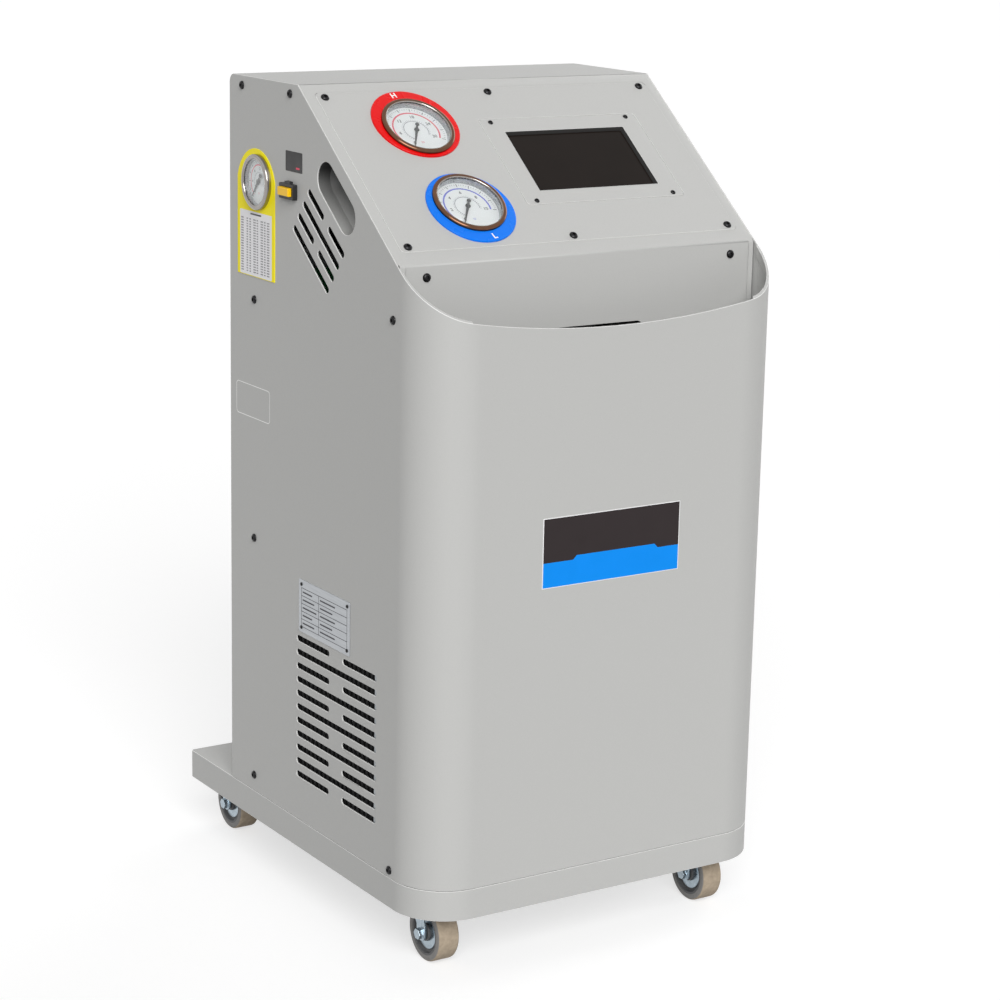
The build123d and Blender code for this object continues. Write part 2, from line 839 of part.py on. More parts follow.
# Handle cups: a pressed cup with a flange behind each handle opening
handle_middle_y = slope_low_y + slope_run / 2
handle_middle_z = slope_low_z + slope_drop / 2
with BuildPart() as handle_cups:
    for side in (-1, 1):
        mouth = Plane(
            origin=(side * (inner_half_width - slip), handle_middle_y, handle_middle_z),
            x_dir=(0, -slope_cosine, -slope_sine),
            z_dir=(side, 0, 0),
        )
        across = side * handle_below_slope
        with BuildSketch(mouth.offset(-handle_depth)):
            with Locations((0, across)):
                SlotOverall(handle_length + 2 * cup_wall, handle_width + 2 * cup_wall)
        extrude(amount=handle_depth)
        bottom = handle_cups.faces(Select.LAST).filter_by(Axis.X).sort_by(Axis.X)[0 if side > 0 else -1]
        chamfer(bottom.edges(), cup_round)
        with BuildSketch(mouth):
            with Locations((0, across)):
                SlotOverall(handle_length + 2 * cup_flange, handle_width + 2 * cup_flange)
        extrude(amount=-cup_wall)
        with BuildSketch(mouth.offset(-handle_depth + cup_wall)):
            with Locations((0, across)):
                SlotOverall(handle_length, handle_width)
        hollow = extrude(amount=handle_depth, mode=Mode.PRIVATE)
        bottom = hollow.faces().filter_by(Axis.X).sort_by(Axis.X)[0 if side > 0 else -1]
        add(hollow.chamfer(cup_round, None, bottom.edges()), mode=Mode.SUBTRACT)
save(handle_cups.part, "handle_cups")


# Rating plate on the left side
with BuildPart() as rating_plate:
    with BuildSketch(left_point(rating_from_front, rating_height)):
        RectangleRounded(rating_width, rating_plate_height, sheet)
    extrude(amount=rating_thickness)
save(rating_plate.part, "rating_plate")


# Casters: the plates stay on the tray, the forks swivel and the wheels turn in them
casters = []
for side, side_name in ((-1, "left"), (1, "right")):
    swivel_x = side * (half_width - caster_inset_x)
    casters.append((f"front_{side_name}", swivel_x, front + front_swivel_from_front, -1))
    casters.append((f"rear_{side_name}", swivel_x, -front - rear_swivel_from_back, 1))

plate_bottom = caster_height - caster_plate_thickness
race_bottom = plate_bottom - race_height
crown_top = race_bottom - race_gap
crown_bottom = crown_top - fork_sheet
leg_inner = wheel_width / 2 + fork_gap
kingpin_radius = axle_radius
with BuildPart() as caster_plates:
    for name, x, y, trail_side in casters:
        with BuildSketch(Plane.XY.offset(plate_bottom)):
            with Locations((x, y)):
                Rectangle(caster_plate_size, caster_plate_size)
        extrude(amount=caster_plate_thickness)
        with BuildSketch(Plane.XY.offset(race_bottom)):
            with Locations((x, y)):
                Circle(race_radius)
        extrude(amount=race_height)
        chamfer(caster_plates.edges(Select.LAST).group_by(Axis.Z)[0], race_height / 3)
        with BuildSketch(Plane.XY.offset(crown_bottom - nut_height)):
            with Locations((x, y)):
                Circle(kingpin_radius)
        extrude(amount=nut_height + fork_sheet + race_gap)
        with BuildSketch(Plane.XY.offset(crown_bottom - race_gap)):
            with Locations((x, y)):
                Circle(nut_radius)
        extrude(amount=race_gap - nut_height)
save(caster_plates.part, "caster_plates")

for name, x, y, trail_side in casters:
    wheel_y = y + trail_side * caster_trail
    with BuildPart() as fork:
        with BuildSketch(Plane.XY.offset(crown_bottom)):
            with Locations((x, y)):
                Circle(race_radius)
                Rectangle(2 * (leg_inner + fork_sheet), fork_crown_length)
        extrude(amount=fork_sheet)
        for side in (-1, 1):
            with BuildSketch(Plane.YZ.offset(x + side * leg_inner)):
                with BuildLine():
                    Polyline(
                        (y - fork_crown_length / 2, crown_top),
                        (y + fork_crown_length / 2, crown_top),
                        (wheel_y + fork_leg_width / 2, wheel_radius + fork_leg_width / 2),
                        (wheel_y + fork_leg_width / 2, wheel_radius),
                        (wheel_y - fork_leg_width / 2, wheel_radius),
                        (wheel_y - fork_leg_width / 2, wheel_radius + fork_leg_width / 2),
                        close=True,
                    )
                make_face()
                with Locations((wheel_y, wheel_radius)):
                    Circle(fork_leg_width / 2)
            extrude(amount=side * fork_sheet)
        with BuildSketch(Plane.YZ.offset(x - leg_inner)):
            with Locations((wheel_y, wheel_radius)):
                Circle(axle_radius)
        extrude(amount=2 * leg_inner)
        for side in (-1, 1):
            with BuildSketch(Plane.YZ.offset(x + side * (leg_inner + fork_sheet))):
                with Locations((wheel_y, wheel_radius)):
                    RegularPolygon(nut_radius, 6)
            extrude(amount=side * nut_height)
        with BuildSketch(Plane.XY.offset(crown_bottom)):
            with Locations((x, y)):
                Circle(kingpin_radius + slip)
        extrude(amount=fork_sheet, mode=Mode.SUBTRACT)
    save(fork.part, f"caster_fork_{name}")

    rim_radius = wheel_radius - tyre_thickness
    with BuildPart() as wheel:
        with BuildSketch(Plane.YZ.offset(x - wheel_width / 2)):
            with Locations((wheel_y, wheel_radius)):
                Circle(rim_radius)
                Circle(axle_radius + slip, mode=Mode.SUBTRACT)
        extrude(amount=wheel_width)
        for side in (-1, 1):
            with BuildSketch(Plane.YZ.offset(x + side * wheel_width / 2)):
                with Locations((wheel_y, wheel_radius)):
                    Circle(rim_radius - wheel_rim_wall)
            extrude(amount=-side * wheel_dish, mode=Mode.SUBTRACT)
    save(wheel.part, f"caster_wheel_{name}")

    with BuildPart() as tyre:
        with BuildSketch(Plane.YZ.offset(x - wheel_width / 2)):
            with Locations((wheel_y, wheel_radius)):
                Circle(wheel_radius)
        extrude(amount=wheel_width)
        chamfer(tyre.edges().filter_by(GeomType.CIRCLE), tyre_shoulder)
        with BuildSketch(Plane.YZ.offset(x - wheel_width / 2)):
            with Locations((wheel_y, wheel_radius)):
                Circle(rim_radius)
        extrude(amount=wheel_width, mode=Mode.SUBTRACT)
    save(tyre.part, f"caster_tyre_{name}")


# Scale: a platform plate on a load cell that is bolted to the deck
with BuildPart() as scale_platform:
    with BuildSketch(Plane.XY.offset(deck_top)):
        with Locations((tank_x, tank_y)):
            Rectangle(load_cell_width, load_cell_length)
    extrude(amount=scale_height - tray_sheet)
    with BuildSketch(Plane.XY.offset(deck_top + scale_height - tray_sheet)):
        with Locations((tank_x, tank_y)):
            RectangleRounded(scale_width, scale_width, bend_radius)
    extrude(amount=tray_sheet)
save(scale_platform.part, "scale_platform")


# Refrigerant tank: a welded shell on a foot ring, with its valve inside a guard collar
tank_base = deck_top + scale_height
tank_bottom = tank_base + tank_foot_height
tank_top = tank_bottom + tank_height
handwheel_z = tank_top + valve_height / 2
with BuildPart() as refrigerant_tank:
    with BuildSketch(Plane.XY.offset(tank_bottom)):
        with Locations((tank_x, tank_y)):
            Circle(tank_radius)
    extrude(amount=tank_height)
    chamfer(refrigerant_tank.edges().filter_by(GeomType.CIRCLE), tank_shoulder)
    with BuildSketch(Plane.XY.offset(tank_base)):
        with Locations((tank_x, tank_y)):
            Circle(tank_radius - tank_shoulder)
            Circle(tank_radius - tank_shoulder - tray_sheet, mode=Mode.SUBTRACT)
    extrude(amount=tank_foot_height)
    with BuildSketch(Plane.XY.offset(tank_top)):
        with Locations((tank_x, tank_y)):
            Rectangle(2 * valve_radius, 2 * valve_radius)
    extrude(amount=valve_height)
    with BuildSketch(Plane.YZ.offset(tank_x - valve_stem_reach)):
        with Locations((tank_y, handwheel_z)):
            Circle(valve_stem_radius)
    extrude(amount=2 * valve_stem_reach)
save(refrigerant_tank.part, "refrigerant_tank")

for side, name in ((-1, "liquid_handwheel"), (1, "vapour_handwheel")):
    handwheel_x = tank_x + side * (valve_radius + 2 * slip)
    with BuildPart() as handwheel:
        with BuildSketch(Plane.YZ.offset(handwheel_x)):
            with Locations((tank_y, handwheel_z)):
                Circle(handwheel_radius)
                with PolarLocations(handwheel_radius, handwheel_lobes):
                    Circle(handwheel_radius / handwheel_lobes, mode=Mode.SUBTRACT)
                Circle(valve_stem_radius + slip, mode=Mode.SUBTRACT)
        extrude(amount=side * handwheel_thickness)
    save(handwheel.part, name)


# Compressor: a domed welded shell on a foot plate
with BuildPart() as compressor:
    with BuildSketch(Plane.XY.offset(deck_top)):
        with Locations((compressor_x, compressor_y)):
            with GridLocations(compressor_foot_spacing, compressor_foot_spacing, 2, 2):
                Circle(compressor_foot_radius)
    extrude(amount=compressor_foot_height)
    with BuildSketch(Plane.XY.offset(deck_top + compressor_foot_height)):
        with Locations((compressor_x, compressor_y)):
            foot_plate = compressor_foot_spacing + 2 * compressor_foot_radius
            RectangleRounded(foot_plate, foot_plate, compressor_foot_radius)
    extrude(amount=tray_sheet)
    with BuildSketch(Plane.XY.offset(deck_top + compressor_foot_height + tray_sheet)):
        with Locations((compressor_x, compressor_y)):
            Circle(compressor_radius)
    extrude(amount=compressor_height)
    chamfer(compressor.edges(Select.LAST).group_by(Axis.Z)[-1], compressor_dome)
save(compressor.part, "compressor")
compressor_top = deck_top + compressor_foot_height + tray_sheet + compressor_height


# Vacuum pump: a motor with its pump housing on a foot
pump_axis_z = deck_top + tray_sheet + pump_width / 2
pump_front = front_post_face + 2 * post_size
vacuum_x = valve_block_x + valve_block_length / 3
vacuum_y = pump_front + pump_length / 6
with BuildPart() as vacuum_pump:
    with BuildSketch(Plane.XY.offset(deck_top)):
        with Locations((pump_x, pump_front)):
            Rectangle(pump_width - 2 * post_size, pump_length, align=(Align.CENTER, Align.MIN))
    extrude(amount=pump_width / 3)
    with BuildSketch(Plane.XZ.offset(-pump_front)):
        with Locations((pump_x, pump_axis_z)):
            RectangleRounded(pump_width, pump_width, bend_radius * 2)
    extrude(amount=-pump_length / 3)
    with BuildSketch(Plane.XZ.offset(-pump_front - pump_length / 3)):
        with Locations((pump_x, pump_axis_z)):
            Circle(pump_width / 2)
    extrude(amount=-pump_length * 2 / 3)
    with BuildSketch(Plane.XY.offset(pump_axis_z)):
        with Locations((vacuum_x, vacuum_y)):
            Circle(connection_radius)
    extrude(amount=pump_width / 2 + connection_length)
save(vacuum_pump.part, "vacuum_pump")


# Condenser: a finned block on end plates that reach the deck, with its fan behind it
condenser_x = -inner_half_width + sheet + condenser_depth / 2
with BuildPart() as condenser:
    with BuildSketch(Plane.XY.offset(deck_top + condenser_bottom)):
        with Locations((condenser_x, condenser_y)):
            Rectangle(condenser_depth - 2 * fin_depth, condenser_length)
            with GridLocations(0, condenser_length / fin_count, 1, fin_count):
                Rectangle(condenser_depth, condenser_length / fin_count / 2)
    extrude(amount=condenser_height)
    with BuildSketch(Plane.XY.offset(deck_top)):
        with Locations((condenser_x, condenser_y)):
            with GridLocations(0, condenser_length + tray_sheet, 1, 2):
                Rectangle(condenser_depth, tray_sheet)
    extrude(amount=condenser_bottom + condenser_height)
save(condenser.part, "condenser")

fan_z = deck_top + condenser_bottom + condenser_height / 2
shroud_x = condenser_x + condenser_depth / 2
motor_front = fan_depth - tray_sheet
arm_length = fan_radius + 3 * tray_sheet / 2
with BuildPart() as fan_shroud:
    with BuildSketch(Plane.YZ.offset(shroud_x)):
        with Locations((condenser_y, fan_z)):
            Rectangle(condenser_length, condenser_height)
            Circle(fan_radius + tray_sheet, mode=Mode.SUBTRACT)
    extrude(amount=sheet)
    with BuildSketch(Plane.YZ.offset(shroud_x)):
        with Locations((condenser_y, fan_z)):
            Circle(fan_radius + 2 * tray_sheet)
            Circle(fan_radius + tray_sheet, mode=Mode.SUBTRACT)
    extrude(amount=fan_depth + motor_depth)
    with BuildSketch(Plane.YZ.offset(shroud_x + fan_depth)):
        with Locations((condenser_y, fan_z)):
            Circle(fan_hub_radius)
            with PolarLocations(0, fan_arms):
                Rectangle(arm_length, 2 * fan_shaft_radius, align=(Align.MIN, Align.CENTER))
    extrude(amount=motor_depth)
    with BuildSketch(Plane.YZ.offset(shroud_x + motor_front / 2)):
        with Locations((condenser_y, fan_z)):
            Circle(fan_shaft_radius)
    extrude(amount=fan_depth - motor_front / 2)
save(fan_shroud.part, "fan_shroud")

pitch_sine = math.sin(math.radians(blade_pitch))
pitch_cosine = math.cos(math.radians(blade_pitch))
with BuildPart() as fan_rotor:
    with BuildSketch(Plane.YZ.offset(shroud_x + tray_sheet)):
        with Locations((condenser_y, fan_z)):
            Circle(fan_hub_radius)
    extrude(amount=motor_front - tray_sheet - slip)
    for blade in range(fan_blades):
        turn = 2 * math.pi * blade / fan_blades
        blade_plane = Plane(
            origin=(shroud_x + tray_sheet + motor_front / 2, condenser_y, fan_z),
            x_dir=(0, math.cos(turn), math.sin(turn)),
            z_dir=(pitch_sine, -math.sin(turn) * pitch_cosine, math.cos(turn) * pitch_cosine),
        )
        with BuildSketch(blade_plane):
            with Locations((fan_hub_radius - sheet, 0)):
                Rectangle(
                    fan_radius - fan_hub_radius + sheet - tray_sheet,
                    motor_front - 2 * tray_sheet,
                    align=(Align.MIN, Align.CENTER),
                )
        extrude(amount=sheet / 2, both=True)
    with BuildSketch(Plane.YZ.offset(shroud_x)):
        with Locations((condenser_y, fan_z)):
            Circle(fan_shaft_radius + slip)
    extrude(amount=fan_depth, mode=Mode.SUBTRACT)
save(fan_rotor.part, "fan_rotor")


# Mounting plate across the rear posts, with the parts it carries on its front face
plate_front = rear_post_face - tray_sheet
plate_bottom_z = deck_top + mounting_plate_bottom
plate_width = 2 * (post_outside - tray_sheet - 2 * seam_gap)
with BuildPart() as mounting_plate:
    with BuildSketch(Plane.XZ.offset(-rear_post_face)):
        with Locations((0, plate_bottom_z)):
            RectangleRounded(
                plate_width, mounting_plate_height, bend_radius, align=(Align.CENTER, Align.MIN)
            )
    extrude(amount=tray_sheet)
save(mounting_plate.part, "mounting_plate")


def plate_area(x, height, forward=0):
    """Plane on the front of the mounting plate, facing forwards."""
    origin = (x, plate_front - forward, plate_bottom_z + height)
    return Plane(origin=origin, x_dir=(1, 0, 0), z_dir=(0, -1, 0))


with BuildPart() as valve_block:
    with BuildSketch(plate_area(valve_block_x, valve_block_height_on_plate)):
        Rectangle(valve_block_length, valve_block_width)
    extrude(amount=valve_block_depth)
    chamfer(valve_block.faces().sort_by(Axis.Y)[0].edges(), sheet)
    with BuildSketch(plate_area(valve_block_x, valve_block_height_on_plate, valve_block_depth)):
        with GridLocations(valve_block_length / 3, 0, 3, 1):
            RegularPolygon(connection_radius, 6)
    extrude(amount=connection_length / 2)
save(valve_block.part, "valve_block")

coil_z = plate_bottom_z + valve_block_height_on_plate + valve_block_width / 2
with BuildPart() as solenoid_coils:
    with BuildSketch(Plane.XY.offset(coil_z)):
        with Locations((valve_block_x, plate_front - valve_block_depth / 2)):
            with GridLocations(valve_block_length / coil_count, 0, coil_count, 1):
                Circle(coil_stem_radius)
    extrude(amount=coil_height + 2 * tray_sheet)
    with BuildSketch(Plane.XY.offset(coil_z + tray_sheet)):
        with Locations((valve_block_x, plate_front - valve_block_depth / 2)):
            with GridLocations(valve_block_length / coil_count, 0, coil_count, 1):
                Rectangle(coil_width, coil_width)
    extrude(amount=coil_height)
save(solenoid_coils.part, "solenoid_coils")

with BuildPart() as control_board:
    with BuildSketch(plate_area(board_x, board_height_on_plate)):
        with GridLocations(board_width - 4 * tray_sheet, board_height - 4 * tray_sheet, 2, 2):
            RegularPolygon(tray_sheet, 6)
    extrude(amount=board_stand_off)
    with BuildSketch(plate_area(board_x, board_height_on_plate, board_stand_off)):
        Rectangle(board_width, board_height)
    extrude(amount=sheet)
    with BuildSketch(plate_area(board_x, board_height_on_plate, board_stand_off + sheet)):
        with GridLocations(board_width / 3, board_height / 3, 3, 2):
            Rectangle(board_width / 5, board_height / 5)
    extrude(amount=board_stand_off)
save(control_board.part, "control_board")

with BuildPart() as power_supply:
    with BuildSketch(plate_area(power_supply_x, power_supply_height_on_plate)):
        Rectangle(power_supply_width, power_supply_height)
    extrude(amount=power_supply_depth)
    with BuildSketch(plate_area(power_supply_x, power_supply_height_on_plate, power_supply_depth)):
        with GridLocations(power_supply_width / 6, 0, 5, 1):
            Rectangle(power_supply_width / 12, power_supply_height * 2 / 3)
    extrude(amount=-sheet, mode=Mode.SUBTRACT)
save(power_supply.part, "power_supply")

with BuildPart() as filter_drier:
    drier_stand_off = drier_radius + tray_sheet
    with BuildSketch(Plane.XY.offset(plate_bottom_z + drier_height_on_plate - drier_length / 2)):
        with Locations((drier_x, plate_front - drier_stand_off)):
            Circle(drier_radius)
    extrude(amount=drier_length)
    chamfer(filter_drier.edges().filter_by(GeomType.CIRCLE), drier_radius / 3)
    with BuildSketch(plate_area(drier_x, drier_height_on_plate)):
        Rectangle(2 * drier_radius, drier_length / 4)
    extrude(amount=drier_stand_off)
save(filter_drier.part, "filter_drier")


# Copper lines: tubes bent between the compressor, condenser, drier, valve block and pump
drier_y = plate_front - drier_stand_off
drier_bottom = plate_bottom_z + drier_height_on_plate - drier_length / 2
condenser_top = deck_top + condenser_bottom + condenser_height
suction_y = compressor_y + compressor_radius - compressor_dome - line_bend_radius / 2
liquid_y = condenser_y + condenser_length / 3
block_front_y = plate_front - valve_block_depth - connection_length / 2
block_z = plate_bottom_z + valve_block_height_on_plate
line_paths = (
    (
        (compressor_x, suction_y, compressor_top),
        (compressor_x, suction_y, line_level),
        (condenser_x, suction_y, line_level),
        (condenser_x, suction_y, condenser_top),
    ),
    (
        (condenser_x, liquid_y, condenser_top),
        (condenser_x, liquid_y, line_level + post_size),
        (drier_x, drier_y, line_level + post_size),
        (drier_x, drier_y, drier_bottom),
    ),
    (
        (vacuum_x, block_front_y, block_z),
        (vacuum_x, vacuum_y, block_z),
        (vacuum_x, vacuum_y, pump_axis_z + pump_width / 2 + connection_length),
    ),
)
with BuildPart() as copper_lines:
    for points in line_paths:
        with BuildLine() as line_path:
            FilletPolyline(*points, radius=line_bend_radius)
        start = Vector(*points[0])
        with BuildSketch(Plane(origin=start, z_dir=Vector(*points[1]) - start)):
            Circle(line_radius)
        sweep(path=line_path.wires()[0])
save(copper_lines.part, "copper_lines")


# Back panel inside the shell's back returns, with the fittings it carries
panel_outside = cabinet_back - sheet
back_panel_width = 2 * (inner_half_width - seam)
back_panel_bottom = deck_top + 2 * seam
back_panel_height = top - rear_lip + ledge_width - back_panel_bottom


def back_point(x, height, outward=0):
    """Plane on the outside of the back panel, facing backwards."""
    return Plane(origin=(x, panel_outside + outward, deck_top + height), x_dir=(-1, 0, 0), z_dir=(0, 1, 0))


with BuildPart() as back_panel:
    with BuildSketch(Plane.XZ.offset(-panel_outside)):
        with Locations((0, back_panel_bottom)):
            RectangleRounded(back_panel_width, back_panel_height, sheet, align=(Align.CENTER, Align.MIN))
    extrude(amount=back_sheet)
    with BuildSketch(back_point(inlet_x, inlet_height_on_back)):
        Rectangle(inlet_width - 4 * tray_sheet + 2 * slip, inlet_total_height - 4 * tray_sheet + 2 * slip)
    extrude(amount=-2 * back_sheet, mode=Mode.SUBTRACT)
    with BuildSketch(back_point(port_x, port_height_on_back)):
        with GridLocations(port_spacing, 0, 2, 1):
            Circle(port_radius + slip)
    extrude(amount=-2 * back_sheet, mode=Mode.SUBTRACT)
    column_pitch = back_vent_length + back_vent_pitch
    with BuildSketch(back_point(0, back_vent_height)):
        with GridLocations(column_pitch, back_vent_pitch, back_vent_columns, back_vent_rows):
            SlotOverall(back_vent_length, low_vent_height)
    extrude(amount=-2 * back_sheet, mode=Mode.SUBTRACT)
save(back_panel.part, "back_panel")

inlet_total_half = inlet_total_height / 2
socket_middle = inlet_total_half - inlet_height / 2 - 2 * tray_sheet
switch_middle = -inlet_total_half + switch_height / 2 + 2 * tray_sheet
with BuildPart() as power_inlet:
    with BuildSketch(back_point(inlet_x, inlet_height_on_back)):
        RectangleRounded(inlet_width, inlet_total_height, bend_radius)
    extrude(amount=inlet_flange)
    with BuildSketch(back_point(inlet_x, inlet_height_on_back)):
        Rectangle(inlet_width - 4 * tray_sheet, inlet_total_height - 4 * tray_sheet)
    extrude(amount=-inlet_depth)
    with BuildSketch(back_point(inlet_x, inlet_height_on_back, inlet_flange)):
        with Locations((0, socket_middle)):
            RectangleRounded(inlet_height, socket_height, bend_radius)
        with Locations((0, switch_middle)):
            Rectangle(rocker_width + 2 * slip, switch_height + 2 * slip)
    extrude(amount=-inlet_depth + tray_sheet, mode=Mode.SUBTRACT)
    with BuildSketch(back_point(inlet_x, inlet_height_on_back, -inlet_depth / 2)):
        with Locations((0, socket_middle)):
            with GridLocations(inlet_height / 4, 0, 3, 1):
                Rectangle(tray_sheet, 2 * tray_sheet)
    extrude(amount=-inlet_depth / 2 + tray_sheet)
save(power_inlet.part, "power_inlet")

rocker_z = deck_top + inlet_height_on_back + switch_middle
rocker_angle = math.radians(rocker_tilt)
rocker_plane = Plane(
    origin=(inlet_x - rocker_width / 2, panel_outside, rocker_z),
    x_dir=(0, math.cos(rocker_angle), math.sin(rocker_angle)),
    z_dir=(1, 0, 0),
)
with BuildPart() as switch_rocker:
    with BuildSketch(rocker_plane):
        with BuildLine():
            Polyline(
                (0, -rocker_reach),
                (inlet_flange + rocker_rise, -rocker_reach),
                (inlet_flange + rocker_rise / 2, 0),
                (inlet_flange + rocker_rise, rocker_reach),
                (0, rocker_reach),
                (-rocker_reach, 0),
                close=True,
            )
        make_face()
    extrude(amount=rocker_width)
save(switch_rocker.part, "switch_rocker")

with BuildPart() as service_ports:
    for side in (-1, 1):
        port_place = back_point(port_x + side * port_spacing / 2, port_height_on_back)
        with BuildSketch(port_place.offset(-back_sheet)):
            Circle(port_radius)
        extrude(amount=port_length)
        with BuildSketch(port_place):
            RegularPolygon(port_radius + 2 * tray_sheet, 6)
        extrude(amount=2 * tray_sheet)
        with BuildSketch(port_place.offset(-back_sheet)):
            RegularPolygon(port_radius + 2 * tray_sheet, 6)
        extrude(amount=-2 * tray_sheet)
        with BuildSketch(port_place.offset(port_length * 2 / 3)):
            Circle(port_radius + tray_sheet)
        extrude(amount=port_length / 4)
        with BuildSketch(port_place.offset(port_length)):
            Circle(port_radius / 2)
        extrude(amount=-port_length, mode=Mode.SUBTRACT)
save(service_ports.part, "service_ports")

bottle_y = panel_outside + bottle_radius + 2 * tray_sheet
bottle_base = deck_top + bottle_level
with BuildPart() as bottle_rack:
    rack_width = bottle_count * bottle_spacing
    with BuildSketch(Plane.XY.offset(bottle_base - tray_sheet)):
        with Locations((0, panel_outside)):
            Rectangle(rack_width, 2 * bottle_radius + 4 * tray_sheet, align=(Align.CENTER, Align.MIN))
    extrude(amount=tray_sheet)
    with BuildSketch(Plane.XY.offset(bottle_base + bottle_height / 2)):
        with Locations((0, panel_outside)):
            Rectangle(rack_width, 2 * bottle_radius + 4 * tray_sheet, align=(Align.CENTER, Align.MIN))
        with Locations((0, bottle_y)):
            with GridLocations(bottle_spacing, 0, bottle_count, 1):
                Circle(bottle_radius + slip, mode=Mode.SUBTRACT)
    extrude(amount=tray_sheet)
    with BuildSketch(Plane.XZ.offset(-panel_outside)):
        with Locations((0, bottle_base - tray_sheet)):
            Rectangle(rack_width, bottle_height / 2 + 2 * tray_sheet, align=(Align.CENTER, Align.MIN))
    extrude(amount=-sheet)
save(bottle_rack.part, "bottle_rack")

with BuildPart() as oil_bottles:
    with BuildSketch(Plane.XY.offset(bottle_base)):
        with Locations((0, bottle_y)):
            with GridLocations(bottle_spacing, 0, bottle_count, 1):
                Circle(bottle_radius)
    extrude(amount=bottle_height)
    chamfer(oil_bottles.edges().group_by(Axis.Z)[-1], bottle_radius / 4)
    with BuildSketch(Plane.XY.offset(bottle_base + bottle_height)):
        with Locations((0, bottle_y)):
            with GridLocations(bottle_spacing, 0, bottle_count, 1):
                Circle(bottle_radius / 2)
    extrude(amount=bottle_radius / 2)
    chamfer(oil_bottles.edges().group_by(Axis.Z)[-1], sheet)
save(oil_bottles.part, "oil_bottles")
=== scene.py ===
import json
import math

import bmesh
import bpy
from mathutils import Matrix, Vector

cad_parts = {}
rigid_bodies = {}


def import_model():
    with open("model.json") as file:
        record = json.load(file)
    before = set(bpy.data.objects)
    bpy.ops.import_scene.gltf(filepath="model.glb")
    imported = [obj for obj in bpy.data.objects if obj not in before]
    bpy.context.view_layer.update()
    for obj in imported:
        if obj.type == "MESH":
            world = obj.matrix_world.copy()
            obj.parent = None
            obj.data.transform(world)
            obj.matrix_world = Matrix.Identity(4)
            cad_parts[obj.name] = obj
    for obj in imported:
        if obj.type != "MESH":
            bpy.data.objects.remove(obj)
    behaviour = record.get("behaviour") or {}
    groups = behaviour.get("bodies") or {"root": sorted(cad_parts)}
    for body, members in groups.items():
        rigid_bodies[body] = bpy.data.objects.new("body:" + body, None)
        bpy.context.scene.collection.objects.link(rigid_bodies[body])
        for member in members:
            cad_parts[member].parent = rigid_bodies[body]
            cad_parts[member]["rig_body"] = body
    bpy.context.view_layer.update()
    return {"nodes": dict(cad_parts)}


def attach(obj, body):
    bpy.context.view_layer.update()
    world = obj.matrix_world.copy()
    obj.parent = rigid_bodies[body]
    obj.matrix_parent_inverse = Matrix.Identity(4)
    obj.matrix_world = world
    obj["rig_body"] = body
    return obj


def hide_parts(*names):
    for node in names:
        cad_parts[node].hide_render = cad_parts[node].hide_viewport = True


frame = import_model()
MM = 0.001


# Base tray: 2 mm mild steel, pressed with its rim turned down all round and its front corners rounded.
# Like all the outer sheets it has a light grey polyester powder coat, sprayed on dry and baked.
def linear(colour):
    """The linear values of an sRGB hex colour."""
    channels = [int(colour[start:start + 2], 16) / 255 for start in (1, 3, 5)]
    return [c / 12.92 if c <= 0.04045 else ((c + 0.055) / 1.055) ** 2.4 for c in channels] + [1]


def add(material, kind, inputs, **settings):
    """Adds a node with its settings; each input is a value or the output socket it is linked to."""
    node = material.node_tree.nodes.new("ShaderNode" + kind)
    for name, value in settings.items():
        setattr(node, name, value)
    for name, value in inputs.items():
        if isinstance(value, bpy.types.NodeSocket):
            material.node_tree.links.new(value, node.inputs[name])
        else:
            node.inputs[name].default_value = value
    return node


def surface(name, colour, second, grain, roughness, metallic=0, relief=0, stretch=(1, 1, 1)):
    """A material that drifts between two colours and two roughnesses, over grains given in millimetres."""
    material = bpy.data.materials.new(name)
    material.use_nodes = True
    shader = material.node_tree.nodes["Principled BSDF"]
    link = material.node_tree.links.new
    where = add(material, "TexCoord", {})
    along = add(material, "Mapping", {"Vector": where.outputs["Object"], "Scale": stretch})
    noise = add(material, "TexNoise", {"Vector": along.outputs[0], "Scale": 1 / (grain * MM), "Detail": 3})
    tint = add(
        material, "Mix", {0: noise.outputs[0], 6: linear(colour), 7: linear(second)}, data_type="RGBA"
    )
    gloss = {"From Min": 0.3, "From Max": 0.7, "To Min": roughness[0], "To Max": roughness[1]}
    spread = add(material, "MapRange", {"Value": noise.outputs[0], **gloss})
    link(tint.outputs[2], shader.inputs["Base Color"])
    link(spread.outputs[0], shader.inputs["Roughness"])
    shader.inputs["Metallic"].default_value = metallic
    if relief:
        bump = add(material, "Bump", {"Height": noise.outputs[0], "Distance": relief * MM})
        link(bump.outputs[0], shader.inputs["Normal"])
    return material


def belongs(piece, node, stands_for=True):
    """The piece moves with a CAD node's body; as a rule it is shown in the node's place."""
    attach(piece, frame["nodes"][node]["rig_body"])
    if stands_for:
        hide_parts(node)
    return piece


